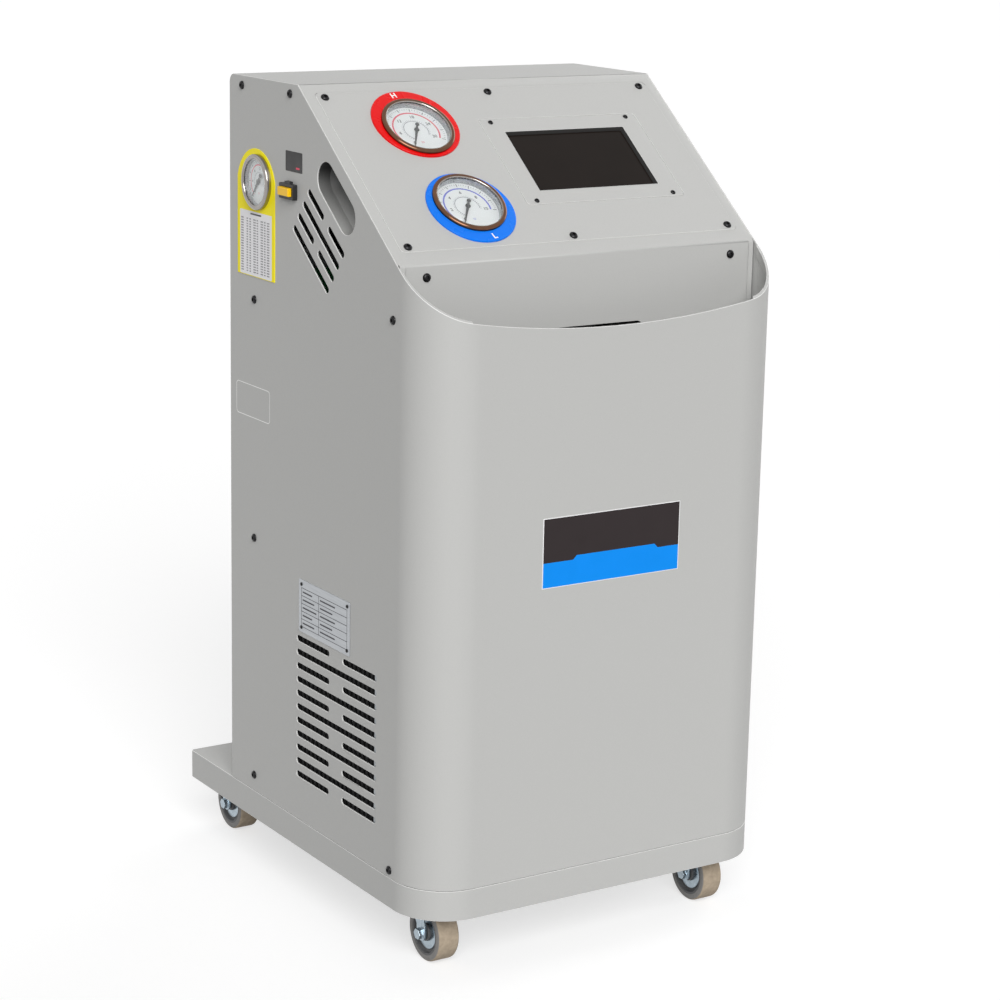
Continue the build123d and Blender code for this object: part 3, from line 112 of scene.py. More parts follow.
def formed(node, material, edge=0.3, highlight_material=None, hard=30, highlight_above=1, split=False):
    """Shows a CAD node with the small rounding that its edges really have, in millimetres.

    The rounding, and the faces that look up more steeply than the given limit, take the second material, a painted
    highlight where one is given. A shape whose flat faces wind round its edges is split into triangles first, and
    one with no rounding keeps its sharp edges.
    """
    mesh = frame["nodes"][node].data.copy()
    work = bmesh.new()
    work.from_mesh(mesh)
    bmesh.ops.remove_doubles(work, verts=work.verts, dist=0.002 * MM)
    bmesh.ops.dissolve_limit(work, angle_limit=math.radians(0.5), verts=work.verts, edges=work.edges)
    if split:
        bmesh.ops.triangulate(work, faces=work.faces)
    for face in work.faces:
        face.smooth = True
        face.material_index = int(face.normal.z > highlight_above)
    work.to_mesh(mesh)
    work.free()
    mesh.set_sharp_from_angle(angle=math.radians(hard))
    mesh.materials.clear()
    mesh.materials.append(material)
    mesh.materials.append(highlight_material or material)
    piece = bpy.data.objects.new(node + "_formed", mesh)
    bpy.context.scene.collection.objects.link(piece)
    if edge:
        bevel = piece.modifiers.new("edge", "BEVEL")
        bevel.width = edge * MM
        bevel.segments = 2
        bevel.limit_method = "ANGLE"
        bevel.angle_limit = math.radians(hard)
        bevel.use_clamp_overlap = False
        bevel.material = 1
    piece.modifiers.new("flat faces stay flat", "WEIGHTED_NORMAL")
    return belongs(piece, node)


# Fine orange peel about half a millimetre across, drawn three times as coarse so that it shows.
powder_coat = surface("polyester_powder_coat", "#b9b9b7", "#b5b5b3", 1.6, (0.46, 0.6), relief=0.02)
# The lighter grey is a painted highlight, put on the rounded edges of the sheets and on faces of the wrap that look
# up.
painted_edge_highlight = surface("powder_coat_painted_edge_highlight", "#e4e4e2", "#dcdcda", 1.6, (0.3, 0.4))
formed("base_tray", powder_coat, 0.5, painted_edge_highlight)


# Frame posts: 2 mm hot-dip galvanised angles that stand on the tray and carry the wrap and the plates.
# Zinc freezes in large pale and dark crystals, so the grain is 12 mm.
galvanised = surface("hot_dip_galvanised_steel", "#b4b8ba", "#8f9599", 12, (0.35, 0.6), 0.9)
formed("frame_posts", galvanised)


# Wrap shell: one 1.5 mm sheet bent round both sides and the front, with a scooped lip hemmed at the back.
# Slots and handle openings are punched first; black oxide button screws hold it to the posts.
def seat(origin, across, outward):
    """Turns millimetres on a flat seat (across, up, outwards) into the shared frame in metres."""
    x = Vector(across)
    z = Vector(outward)
    turn = Matrix((x, z.cross(x), z)).transposed().to_4x4()
    return Matrix.Scale(MM, 4) @ Matrix.Translation(origin) @ turn


def left_seat(y, z):
    return seat((-230, y, z), (0, -1, 0), (-1, 0, 0))


def right_seat(y, z):
    return seat((230, y, z), (0, 1, 0), (1, 0, 0))


def ring(radius, height, steps=64, middle=(0, 0), sides=0):
    """Points round a circle, or round a polygon with that inner radius, at a height."""
    points = []
    for step in range(steps):
        angle = 2 * math.pi * step / steps
        reach = radius
        if sides:
            corner = math.pi / sides
            reach = radius / math.cos(angle % (2 * corner) - corner)
        points.append((middle[0] + reach * math.cos(angle), middle[1] + reach * math.sin(angle), height))
    return points


def skin(rings, closed=False):
    """A mesh over a row of rings; it caps both ends, or joins the last ring to the first."""
    count = len(rings[0])
    faces = []
    for row in range(len(rings) if closed else len(rings) - 1):
        low = row * count
        high = (row + 1) % len(rings) * count
        for step in range(count):
            after = (step + 1) % count
            faces.append((low + step, low + after, high + after, high + step))
    if not closed:
        faces.append(tuple(reversed(range(count))))
        faces.append(tuple(range((len(rings) - 1) * count, len(rings) * count)))
    mesh = bpy.data.meshes.new("skin")
    mesh.from_pydata([point for points in rings for point in points], [], faces)
    return mesh


def piece(name, mesh, places, materials, node, stands_for=False, hard=35):
    """One object made of a mesh in millimetres, set at each of the places."""
    joined = bmesh.new()
    for place in places:
        copy = mesh.copy()
        copy.transform(place)
        joined.from_mesh(copy)
    bmesh.ops.recalc_face_normals(joined, faces=joined.faces)
    for face in joined.faces:
        face.smooth = True
    whole = bpy.data.meshes.new(name)
    joined.to_mesh(whole)
    joined.free()
    whole.set_sharp_from_angle(angle=math.radians(hard))
    for material in materials:
        whole.materials.append(material)
    shown = bpy.data.objects.new(name, whole)
    bpy.context.scene.collection.objects.link(shown)
    return belongs(shown, node, stands_for)


def button_head(radius, height, key):
    """A round head with a hexagon socket, key millimetres across half its flats."""
    return skin([
        ring(radius, 0, 36),
        ring(radius, 0.25 * height, 36),
        ring(0.94 * radius, 0.5 * height, 36),
        ring(0.8 * radius, 0.78 * height, 36),
        ring(0.62 * radius, 0.96 * height, 36),
        ring(0.52 * radius, height, 36),
        ring(key, height, 36, sides=6),
        ring(key, 0.35 * height, 36, sides=6),
    ])


# Oxide grown in hot salt is a thin oily black that stays glossy over the forged head.
black_oxide = surface("black_oxide_steel", "#121213", "#1d1d1f", 2, (0.2, 0.32), 0.6)
m6_head = button_head(4.75, 2.6, 1.9)
side_screws = ((414, 822), (301, 822), (385, 585), (386, 308), (387, 20), (76, 610), (72, 7))
side_places = [left_seat(depth - 278, 100 + height) for depth, height in side_screws[:-1]]
side_places += [right_seat(depth - 278, 100 + height) for depth, height in side_screws[:-1]]
side_places += [left_seat(-206, 109), right_seat(-206, 109)]
piece("side_screws", m6_head, side_places, [black_oxide], "wrap_shell")
# The wrap's rounded edges, and its faces that look up, take the painted highlight.
formed("wrap_shell", powder_coat, 0.45, painted_edge_highlight, highlight_above=0.3)


# Top cover: one 1.5 mm sheet bent into the rear lip, flat top, slope, apron and pocket floor.
# Two screws hold its apron, which drops behind the scoop of the wrap.
def apron_seat(x, z):
    return seat((x, -210, z), (1, 0, 0), (0, -1, 0))


formed("top_cover", powder_coat, 0)
apron_places = [apron_seat(-195.5, 753), apron_seat(195.5, 753)]
piece("apron_screws", m6_head, apron_places, [black_oxide], "top_cover")


def level(outline, height):
    return [(x, y, height) for x, y in outline]


def rounded(width, height, corner, x=0, y=0, steps=6):
    """Outline of a rectangle with round corners."""
    outline = []
    for quarter, (sx, sy) in enumerate(((1, 1), (-1, 1), (-1, -1), (1, -1))):
        for step in range(steps + 1):
            angle = math.pi / 2 * (quarter + step / steps)
            outline.append((
                x + sx * (width / 2 - corner) + corner * math.cos(angle),
                y + sy * (height / 2 - corner) + corner * math.sin(angle),
            ))
    return outline


# A cheek welded to each side of the apron closes the gap to the hem inside the wrap.
cheek_outline = [(-210, 588), (-208.5, 588), (-208.5, 764.3), (-208, 765.6), (-206.8, 766.5), (-206.8, 768.4)]
cheek_outline += [(-208.84, 766.9), (-209.75, 765.6), (-210, 764.5)]
cheek = skin([level(cheek_outline, -3.3), level(cheek_outline, 3.3)])
cheeks = [seat((x, 0, 0), (0, 1, 0), (1, 0, 0)) for x in (-223.9, 223.9)]
piece("apron_cheeks", cheek, cheeks, [powder_coat], "top_cover")


# Control panel: a flat plate of the same sheet let into the slope, with six screws.
slope = math.atan2(167, 216)


def slope_seat(x, down, turn=0):
    """A seat on the slope, x from the middle and down from the top bend."""
    origin = (x, 6 - down * math.cos(slope), 933 - down * math.sin(slope))
    return seat(origin, (1, 0, 0), (0, -math.sin(slope), math.cos(slope))) @ Matrix.Rotation(turn, 4, "Z")


# Its rounded edges take the painted highlight.
formed("control_panel", powder_coat, 0.3, painted_edge_highlight)
panel_places = [slope_seat(x, down, 0.3 * x) for x in (-206, 0, 206) for down in (21.4, 246.4)]
piece("panel_screws", m6_head, panel_places, [black_oxide], "control_panel")


# Display frame: the plate round the touch screen, its window folded down, held by four small screws.
# A strip of black foam rubber seals the window against the glass.
# Its rounded edges take the painted highlight.
formed("display_frame", powder_coat, 0.3, painted_edge_highlight)
display_places = [slope_seat(71 + x, 131 + y) for x in (-90.5, 90.5) for y in (-61, 61)]
piece("display_screws", button_head(3, 1.6, 1.25), display_places, [black_oxide], "display_frame")

foam = surface("closed_cell_foam_rubber", "#1a1918", "#242322", 1.2, (0.75, 0.9), relief=0.05)
seal = skin([
    level(rounded(157.8, 91.8, 1), -3.98),
    level(rounded(157.8, 91.8, 1), -0.5),
    level(rounded(156.4, 90.4, 1), -0.5),
    level(rounded(153, 87, 1), -3.6),
    level(rounded(153, 87, 1), -3.98),
], closed=True)
piece("window_seal", seal, [slope_seat(71, 131)], [foam], "display_module")


# Touch screen: 2 mm toughened glass printed black behind, switched off.
# The glass is flat and polished, with a faint smear where fingers have been.
screen_glass = surface("black_backed_toughened_glass", "#1c1714", "#211b18", 40, (0.06, 0.16))
screen_glass.node_tree.nodes["Principled BSDF"].inputs["IOR"].default_value = 1.52
# An anti-reflective coat leaves about a tenth of the glass's own reflection.
screen_glass.node_tree.nodes["Principled BSDF"].inputs["Specular IOR Level"].default_value = 0.06
formed("touch_screen", screen_glass, 0.4)
module_plastic = surface("moulded_black_abs", "#1b1b1c", "#232324", 1, (0.45, 0.6), relief=0.02)
formed("display_module", module_plastic)


# Collars: discs of moulded ABS, red round the high side gauge and blue round the low side gauge.
# Each stands off centre to carry a white letter, and its edge is rounded by the mould.
def collar(name, place, shift, material, node):
    profile = [(51, 0), (51, 1.1)]
    profile += [(50 + math.cos(0.26 * step), 1.2 + math.sin(0.26 * step)) for step in range(7)]
    rings = [ring(radius, height, 128, (0, shift)) for radius, height in profile]
    rings += [ring(39.35, 2.2, 128), ring(39.35, 0, 128)]
    return piece(name, skin(rings, closed=True), [place], [material], node, True)


high_place = slope_seat(-115, 74)
low_place = slope_seat(-106, 191.5)
red_abs = surface("moulded_red_abs", "#e30003", "#d90003", 30, (0.22, 0.32))
blue_abs = surface("moulded_blue_abs", "#0078f0", "#0071e4", 30, (0.22, 0.32))
for abs_plastic in (red_abs, blue_abs):
    abs_plastic.node_tree.nodes["Principled BSDF"].inputs["Specular IOR Level"].default_value = 0.22
collar("high_side_collar_moulded", high_place, 5.6, red_abs, "high_side_collar")
collar("low_side_collar_moulded", low_place, -5.6, blue_abs, "low_side_collar")


def printed(name, place, shapes, ink, node, lift=0.05):
    """Flat shapes of ink, outlines in millimetres, printed on a seat."""
    work = bmesh.new()
    for outline in shapes:
        turns = sum(a[0] * b[1] - b[0] * a[1] for a, b in zip(outline, outline[1:] + outline[:1]))
        corners = [work.verts.new((x, y, lift)) for x, y in (outline if turns > 0 else outline[::-1])]
        work.faces.new(corners)
    mesh = bpy.data.meshes.new(name)
    work.to_mesh(mesh)
    work.free()
    mesh.transform(place)
    mesh.materials.append(ink)
    shown = bpy.data.objects.new(name, mesh)
    bpy.context.scene.collection.objects.link(shown)
    return belongs(shown, node, False)


def figures(text, size, x, y, turn=0, weight=0):
    """Outlines of figures of that size, centred on a place and thickened by weight."""
    curve = bpy.data.curves.new("figures", "FONT")
    curve.offset = weight
    curve.body = text
    curve.size = size
    curve.resolution_u = 3
    curve.align_x = "CENTER"
    curve.align_y = "CENTER"
    mesh = bpy.data.meshes.new_from_object(bpy.data.objects.new("figures", curve))
    mesh.transform(Matrix.Translation((x, y, 0)) @ Matrix.Rotation(turn, 4, "Z"))
    return [[mesh.vertices[i].co[:2] for i in face.vertices] for face in mesh.polygons]


white_ink = surface("white_pad_print", "#f2f2f0", "#eaeae8", 1, (0.4, 0.5))
printed("high_side_letter", high_place, figures("H", 10, -8, 49.5, 0.16, 0.35), white_ink, "high_side_collar", 2.25)
printed("low_side_letter", low_place, figures("L", 10, 8, -49.5, 0.16, 0.35), white_ink, "low_side_collar", 2.25)


# Gauges: a drawn steel case, black outside, with a turned bezel crimped over a flat glass.
# The bezels are polished nickel plate; the dark brown and coppery colour of the two slope bezels is a painted
# reflection, and the case is bright inside.
def around(name, profile, place, material, node, stands_for=False, steps=128):
    """A turned ring with a closed profile of (radius, height)."""
    mesh = skin([ring(radius, height, steps) for radius, height in profile], closed=True)
    return piece(name, mesh, [place], [material], node, stands_for)


tank_place = left_seat(96, 818.6)
gauges = (
    ("high_side", high_place, 36.5, 39, 6, 2.2, -4, 152),
    ("low_side", low_place, 36.5, 39, 6, 2.2, -4, 148),
    ("tank", tank_place, 25.5, 28, 7, 0.8, -1, 142),
)
# Dark brown drifting to coppery: a painted reflection on the slope bezels.
nickel_painted_reflection = surface("polished_nickel_painted_brown_reflection", "#5a3d2e", "#7a5a47", 9, (0.08, 0.16), 1)
bright_nickel = surface("polished_nickel_plate", "#a9a5a1", "#8d8884", 9, (0.08, 0.16), 1)
bright_steel = surface("drawn_bright_steel", "#b9bbbd", "#a2a5a8", 3, (0.2, 0.34), 1, stretch=(1, 1, 6))
black_enamel = surface("satin_black_enamel", "#161617", "#1e1e1f", 1, (0.35, 0.5), relief=0.01)
clear_glass = surface("float_glass", "#f7fbfa", "#f9fcfb", 30, (0.0, 0.02))
clear_glass.node_tree.nodes["Principled BSDF"].inputs["Transmission Weight"].default_value = 1
clear_glass.node_tree.nodes["Principled BSDF"].inputs["IOR"].default_value = 1.5
for name, place, sight, case, proud, base, face, rest in gauges:
    rim = case + 3
    outline = [(case + 0.3, base), (rim, base), (rim, proud - 2.2)]
    outline += [
        (rim - 2.2 + 2.2 * math.cos(0.393 * step), proud - 2.2 + 2.2 * math.sin(0.393 * step))
        for step in range(1, 5)
    ]
    outline += [(sight + 1.6, proud), (sight + 1.1, proud - 0.2), (sight + 1.1, proud - 1.6)]
    outline += [(case + 0.3, proud - 1.6)]
    plating = bright_nickel if name == "tank" else nickel_painted_reflection
    around(name + "_bezel", outline, place, plating, "gauge_bezels")
    bead = [(sight + 1.08, proud - 1.6), (sight + 1.08, proud - 0.25), (sight + 0.7, proud - 0.2)]
    bead += [(sight + 0.2, proud - 0.6), (sight, proud - 1.2), (sight, proud - 1.6)]
    around(name + "_bezel_bead", bead, place, bright_nickel, "gauge_bezels")
    sleeve = [(sight + 0.7, face + 0.05), (sight + 0.7, proud - 3.3), (sight - 0.4, proud - 3.3)]
    sleeve += [(sight - 0.9, face + 0.6), (sight - 0.9, face + 0.05)]
    around(name + "_sleeve", sleeve, place, bright_steel, "gauge_cases")
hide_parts("gauge_bezels")
formed("gauge_cases", black_enamel, 0.3)
formed("gauge_lenses", clear_glass, 0.2)


# Dials: white stove enamel on aluminium discs, screen printed with ticks, figures and coloured bands.
# The needles are pressed brass painted black, with a round tail that balances the pointer.
def turned(radius, angle):
    """A point on a dial; angles run anticlockwise from the top, in degrees."""
    return (-radius * math.sin(math.radians(angle)), radius * math.cos(math.radians(angle)))


def band(inner, outer, start, end, steps=40):
    """Outlines that fill part of a ring between two angles."""
    shapes = []
    for step in range(steps):
        first = start + (end - start) * step / steps
        last = start + (end - start) * (step + 1) / steps
        shapes.append([turned(inner, first), turned(outer, first), turned(outer, last), turned(inner, last)])
    return shapes


def ticks(inner, outer, width, start, sweep, count):
    """Outlines of radial lines spread evenly over a sweep."""
    shapes = []
    for step in range(count + 1):
        angle = start - sweep * step / count
        half = math.degrees(width / 2 / outer)
        shapes += band(inner, outer, angle - half, angle + half, 1)
    return shapes


dial_enamel = surface("white_stove_enamel", "#eeecee", "#e8e6e9", 20, (0.3, 0.4))
black_ink = surface("black_screen_print", "#2b2b31", "#35353b", 1, (0.45, 0.55))
grey_ink = surface("grey_screen_print", "#8c8a92", "#9a98a0", 1, (0.45, 0.55))
red_ink = surface("red_screen_print", "#dc3f55", "#e4506a", 1, (0.45, 0.55))
blue_ink = surface("blue_screen_print", "#4652c8", "#5660d0", 1, (0.45, 0.55))
needle_paint = surface("black_needle_enamel", "#17161a", "#222026", 2, (0.25, 0.4))
for (name, place, sight, case, proud, base, face, rest), ink, sweep, last in zip(
    gauges, (red_ink, blue_ink, red_ink), (270, 250, 250), (30, 10, 20)
):
    dial = name + "_dial"
    formed(dial, dial_enamel, 0.2)
    fine = ticks(0.87 * sight, 0.92 * sight, 0.4, rest, sweep, 50)
    coarse = ticks(0.81 * sight, 0.93 * sight, 0.8, rest, sweep, 10)
    for step in range(0, 11, 2):
        x, y = turned(0.58 * sight, rest - sweep * step / 10)
        coarse += figures(str(last * step // 10), 0.16 * sight, x, y, weight=0.1)
    printed(name + "_scale", place, fine + coarse, black_ink, dial, face + 0.05)
    coloured = band(0.715 * sight, 0.765 * sight, rest, rest - sweep)
    coloured += figures(str(last), 0.11 * sight, 0, -0.5 * sight)
    printed(name + "_coloured_scale", place, coloured, ink, dial, face + 0.05)
    inner = ticks(0.4 * sight, 0.46 * sight, 0.45, rest, sweep, 30)
    inner += band(0.385 * sight, 0.405 * sight, rest, rest - sweep)
    printed(name + "_inner_scale", place, inner, grey_ink, dial, face + 0.05)
    formed(name + "_needle", needle_paint, 0.12)


# Tank gauge plate: 0.8 mm aluminium with an arched top, screen printed yellow, glued to the left side.
# A white table of small figures is printed under the gauge.
plate_yellow = surface("yellow_screen_printed_aluminium", "#fff000", "#ffec00", 25, (0.35, 0.45))
plate_yellow.node_tree.nodes["Principled BSDF"].inputs["Specular IOR Level"].default_value = 0.2
formed("tank_gauge_plate", plate_yellow, 0.2)
plate_place = left_seat(102, 0)
table_white = surface("white_screen_print", "#efeef0", "#e8e7ea", 10, (0.3, 0.42))
table_shape = [rounded(76, 72.5, 0.8, 0, 748)]
printed("table_ground", plate_place, table_shape, table_white, "tank_gauge_plate", 0.85)
rows = []
for column, width in ((-32, 7), (-20, 5), (-13.5, 4), (-3, 6), (3.8, 4), (14.5, 6), (21.5, 4), (29.5, 6)):
    for row in range(21):
        left = column - width / 2
        for mark in range(int(width / 2)):
            middle = left + 1 + 2 * mark
            rows.append(rounded(1.3, 1.5, 0.2, middle, 775 - 2.95 * row, 1))
rows.append(rounded(26, 1.8, 0.3, 0, 781.2, 1))
printed("table_rows", plate_place, rows, black_ink, "tank_gauge_plate", 0.9)


# Purge button: a glass-filled nylon body clipped through the side, with a yellow push key.
nylon = surface("moulded_black_nylon", "#151516", "#1d1d1e", 1.2, (0.4, 0.55), relief=0.03)
key_yellow = surface("moulded_yellow_nylon", "#ffcb00", "#fcc400", 12, (0.3, 0.42))
formed("purge_valve_body", nylon, 0.5)
formed("purge_button", key_yellow, 0.1)


# Handle cups: pressed steel cups with a flange glued behind each slanted opening.
# The grey of a cup is mixed towards near black higher up the cup, a painted shade of its deep upper end.
def recess_coat():
    material = surface("powder_coat_with_painted_shade", "#9c9c9a", "#949492", 1.6, (0.5, 0.65), relief=0.02)
    where = add(material, "NewGeometry", {})
    parts = add(material, "SeparateXYZ", {"Vector": where.outputs["Position"]})
    # Higher up the cup the grey goes towards near black: painted shade.
    reach = add(material, "MapRange", {
        "Value": parts.outputs["Z"], "From Min": 0.79, "From Max": 0.848, "To Min": 0, "To Max": 0.97,
    })
    shader = material.node_tree.nodes["Principled BSDF"]
    coat = shader.inputs["Base Color"].links[0].from_socket
    painted_shade_mix = add(material, "Mix", {0: reach.outputs[0], 6: coat, 7: linear("#1c1c1c")}, data_type="RGBA")
    material.node_tree.links.new(painted_shade_mix.outputs[2], shader.inputs["Base Color"])
    return material


formed("handle_cups", recess_coat(), 0.3)


# Labels: printed vinyl and foil, all left without words, and a rating plate of anodised aluminium.
def front_seat(x, z):
    return seat((x, -278, z), (1, 0, 0), (0, -1, 0))


def sticker(name, outline, place, material, node, thickness=0.2, edge=None):
    """A thin label with a soft edge."""
    inside = [(x * 0.998, y * 0.998) for x, y in outline]
    mesh = skin([level(outline, 0.02), level(outline, 0.7 * thickness), level(inside, thickness)])
    return piece(name, mesh, [place], [material], node)


vinyl_white = surface("white_cast_vinyl", "#e9e9e9", "#e4e4e4", 20, (0.35, 0.5))
vinyl_black = surface("black_printed_vinyl", "#312a2b", "#2c2627", 25, (0.35, 0.5))
vinyl_blue = surface("blue_printed_vinyl", "#068df2", "#0588e8", 25, (0.35, 0.5))
for vinyl in (vinyl_black, vinyl_blue):
    vinyl.node_tree.nodes["Principled BSDF"].inputs["Specular IOR Level"].default_value = 0.15
label_place = front_seat(0, 461)
sticker("front_label", rounded(178, 77, 0.8), label_place, vinyl_white, "wrap_shell")
upper = [(-88, -10.5), (-50, -10.5), (-45.5, -6), (56, -6), (60.5, -10.5), (88, -10.5), (88, 37.6), (-88, 37.6)]
lower = [(-88, -37.6), (88, -37.6), (88, -10.5), (60.5, -10.5), (56, -6), (-45.5, -6), (-50, -10.5), (-88, -10.5)]
printed("front_label_upper", label_place, [upper], vinyl_black, "wrap_shell", 0.24)
printed("front_label_lower", label_place, [lower], vinyl_blue, "wrap_shell", 0.24)
vinyl_dark = surface("deep_black_printed_vinyl", "#141213", "#181617", 25, (0.4, 0.55))
sticker("purge_label", rounded(38, 22, 1), left_seat(14, 849.5), vinyl_dark, "wrap_shell")
printed("purge_label_mark", left_seat(14, 849.5), [rounded(8, 2, 0.6, 9, -6.5)], red_ink, "wrap_shell", 0.24)
tag_outer = rounded(82, 38, 5)
tag_inner = rounded(80, 36, 4)
tag_line = [
    [tag_outer[step - 1], tag_outer[step], tag_inner[step], tag_inner[step - 1]] for step in range(len(tag_outer))
]
printed("side_tag", left_seat(111, 567), tag_line, white_ink, "wrap_shell")
anodised = surface("brushed_anodised_aluminium", "#b9bcbf", "#a9acb0", 1.2, (0.3, 0.45), 0.9, stretch=(1, 0.04, 1))
formed("rating_plate", anodised, 0.15)
rating_place = left_seat(-59, 356)
lines = [rounded(104, 0.7, 0.2, 0, y, 1) for y in (21, 12, 3, -6, -15, -24)]
lines += [rounded(0.7, 45, 0.2, x, -1.5, 1) for x in (-51.7, -12, 51.7)]
lines += [rounded(22 + 5 * (row % 3), 1.8, 0.4, -38 + 2.5 * (row % 3), 16.5 - 9 * row, 1) for row in range(5)]
lines += [rounded(34 - 6 * (row % 2), 1.8, 0.4, 8 - 3 * (row % 2), 16.5 - 9 * row, 1) for row in range(5)]
printed("rating_plate_lines", rating_place, lines, black_ink, "rating_plate", 0.85)
rivet = skin([ring(2.2, 0, 24), ring(2.1, 0.5, 24), ring(1.5, 1.0, 24), ring(0.6, 1.2, 24)])
rivets = [left_seat(-59 + x, 356 + z) @ Matrix.Translation((0, 0, 0.8)) for x in (-52, 52) for z in (-25, 25)]
piece("rating_plate_rivets", rivet, rivets, [black_oxide], "rating_plate")


# Casters: pressed steel forks on a ball race, zinc plated and passivated with a faint blue cast.
# A dark nylon wheel turns on a bolt between them, with a moulded tread of light thermoplastic rubber.
zinc = surface("blue_passivated_zinc_plate", "#b7c3cb", "#98a6b0", 5, (0.22, 0.36), 1)
wheel_nylon = surface("moulded_grey_nylon", "#4c4c4d", "#565657", 1.5, (0.4, 0.55))
tread = surface("worn_thermoplastic_rubber", "#bbaa94", "#8f8271", 5, (0.7, 0.9), relief=0.12)
side_rubber = surface("moulded_thermoplastic_rubber", "#8b8987", "#7d7b79", 3, (0.55, 0.7), relief=0.03)
formed("caster_plates", zinc, 0.4)
corners = [("front_left", -178, -216), ("rear_left", -178, 252)]
corners += [("front_right", 178, -216), ("rear_right", 178, 252)]
for name, x, y in corners:
    formed("caster_fork_" + name, zinc, 0.5, split=True)
    axle = seat((x, y, 32.5), (0, 1, 0), (1, 0, 0))
    hub = [(4.3, -13), (9, -13), (9.5, -12.6), (9.8, -8.8), (10.6, -8.2), (21, -8.6), (22.2, -9.2), (22.8, -12.6)]
    hub += [(23.2, -13), (25.5, -13)]
    hub += [(radius, -height) for radius, height in reversed(hub)]
    around("hub_" + name, hub, axle, wheel_nylon, "caster_wheel_" + name, True, 64)
    for side in (-1, 1):
        cover = [(9.9, 8.9), (18.5, 8.7), (19.2, 9.2), (18.6, 9.9), (10.4, 10.6), (9.9, 10.4)]
        face = axle @ Matrix.Rotation(math.pi * (side < 0), 4, "X")
        around(f"hub_cover_{side}_" + name, cover, face, zinc, "caster_wheel_" + name, steps=64)
    tyre = [(25.5, -13), (29.6, -13), (31.2, -12.5), (32.2, -11.4), (32.5, -10)]
    tyre += [(32.5, 0)]
    tyre += [(radius, -height) for radius, height in reversed(tyre[:-1])]
    mesh = skin([ring(radius, height, 72) for radius, height in tyre], closed=True)
    for face in mesh.polygons:
        if abs(face.normal.z) > 0.75:
            face.material_index = 1
    piece("tread_" + name, mesh, [axle], [tread, side_rubber], "caster_tyre_" + name, True)


# Scale: a folded aluminium platform on a bar load cell, with the refrigerant tank strapped on it.
# The tank is a welded steel shell with domed ends, painted light grey, on a foot ring.
mill_aluminium = surface("mill_finish_aluminium", "#b5b8ba", "#a4a7aa", 2, (0.35, 0.5), 1, stretch=(0.1, 1, 1))
tank_enamel = surface("grey_tank_enamel", "#aab0b4", "#a0a6aa", 3, (0.3, 0.42), relief=0.02)
formed("scale_platform", mill_aluminium)
tank = [(62, 122), (64, 122), (64, 136)]
tank += [(102 - 38 + 38 * math.sin(0.262 * step), 170 - 38 * math.cos(0.262 * step)) for step in range(1, 7)]
tank += [(102, 288), (102.4, 289), (102.4, 295), (102, 296)]
tank += [(64 + 38 * math.cos(0.262 * step), 414 + 38 * math.sin(0.262 * step)) for step in range(6)]
tank += [(62, 452)]
tank_axis = seat((10, 48, 0), (1, 0, 0), (0, 0, 1))
shell = skin([ring(radius, height, 96) for radius, height in tank])
piece("tank_shell", shell, [tank_axis], [tank_enamel], "refrigerant_tank", True)
brass = surface("machined_brass", "#c9a65c", "#b8954c", 2, (0.2, 0.35), 1, stretch=(1, 1, 5))
body = skin([ring(11.4, 452, 8, sides=4), ring(12, 453, 8, sides=4), ring(12, 485, 8, sides=4),
             ring(11.4, 486, 8, sides=4)])
piece("tank_valve", body, [tank_axis], [brass], "refrigerant_tank")
stem = skin([ring(3.4, -30, 32), ring(4, -29.4, 32), ring(4, 29.4, 32), ring(3.4, 30, 32)])
piece("tank_valve_stem", stem, [seat((10, 48, 469), (0, 1, 0), (1, 0, 0))], [brass], "refrigerant_tank")


# Handwheels: moulded nylon, blue on the liquid valve and red on the vapour valve.
blue_nylon = surface("moulded_blue_nylon", "#1c56b8", "#174a9f", 4, (0.35, 0.5), relief=0.02)
red_nylon = surface("moulded_red_nylon", "#c21f1c", "#ad1a18", 4, (0.35, 0.5), relief=0.02)
formed("liquid_handwheel", blue_nylon, 0.8)
formed("vapour_handwheel", red_nylon, 0.8)


# Compressor: two deep-drawn steel shells welded round the middle, black enamel, on rubber feet.
shell_enamel = surface("black_compressor_enamel", "#17181a", "#1f2022", 2, (0.25, 0.4), relief=0.03)
feet_rubber = surface("moulded_black_rubber", "#1b1b1b", "#262626", 1.5, (0.75, 0.9), relief=0.04)
drawn = [(68, 116), (68, 200), (69, 201), (69, 207), (68, 208), (68, 272)]
drawn += [(44 + 24 * math.cos(0.262 * step), 272 + 24 * math.sin(0.262 * step)) for step in range(1, 7)]
compressor_axis = seat((15, -188, 0), (1, 0, 0), (0, 0, 1))
can = skin([ring(min(radius, 68), height, 96) for radius, height in drawn])
piece("compressor_shell", can, [compressor_axis], [shell_enamel], "compressor", True)
bracket = skin([level(rounded(130, 130, 10), 114), level(rounded(130, 130, 10), 116)])
piece("compressor_foot_plate", bracket, [compressor_axis], [shell_enamel], "compressor")
foot = skin([ring(10, 100, 32), ring(10, 104, 32), ring(8.5, 106, 32), ring(8.5, 109, 32), ring(10, 111, 32),
             ring(10, 113.8, 32)])
feet = [compressor_axis @ Matrix.Translation((x, y, 0)) for x in (-55, 55) for y in (-55, 55)]
piece("compressor_feet", foot, feet, [feet_rubber], "compressor")


# Vacuum pump: a die-cast aluminium pump housing bolted to a round motor, left as cast.
as_cast = surface("die_cast_aluminium", "#9da0a2", "#8b8e91", 1.5, (0.45, 0.65), 0.9, relief=0.08)
formed("vacuum_pump", as_cast, 0.8, split=True)


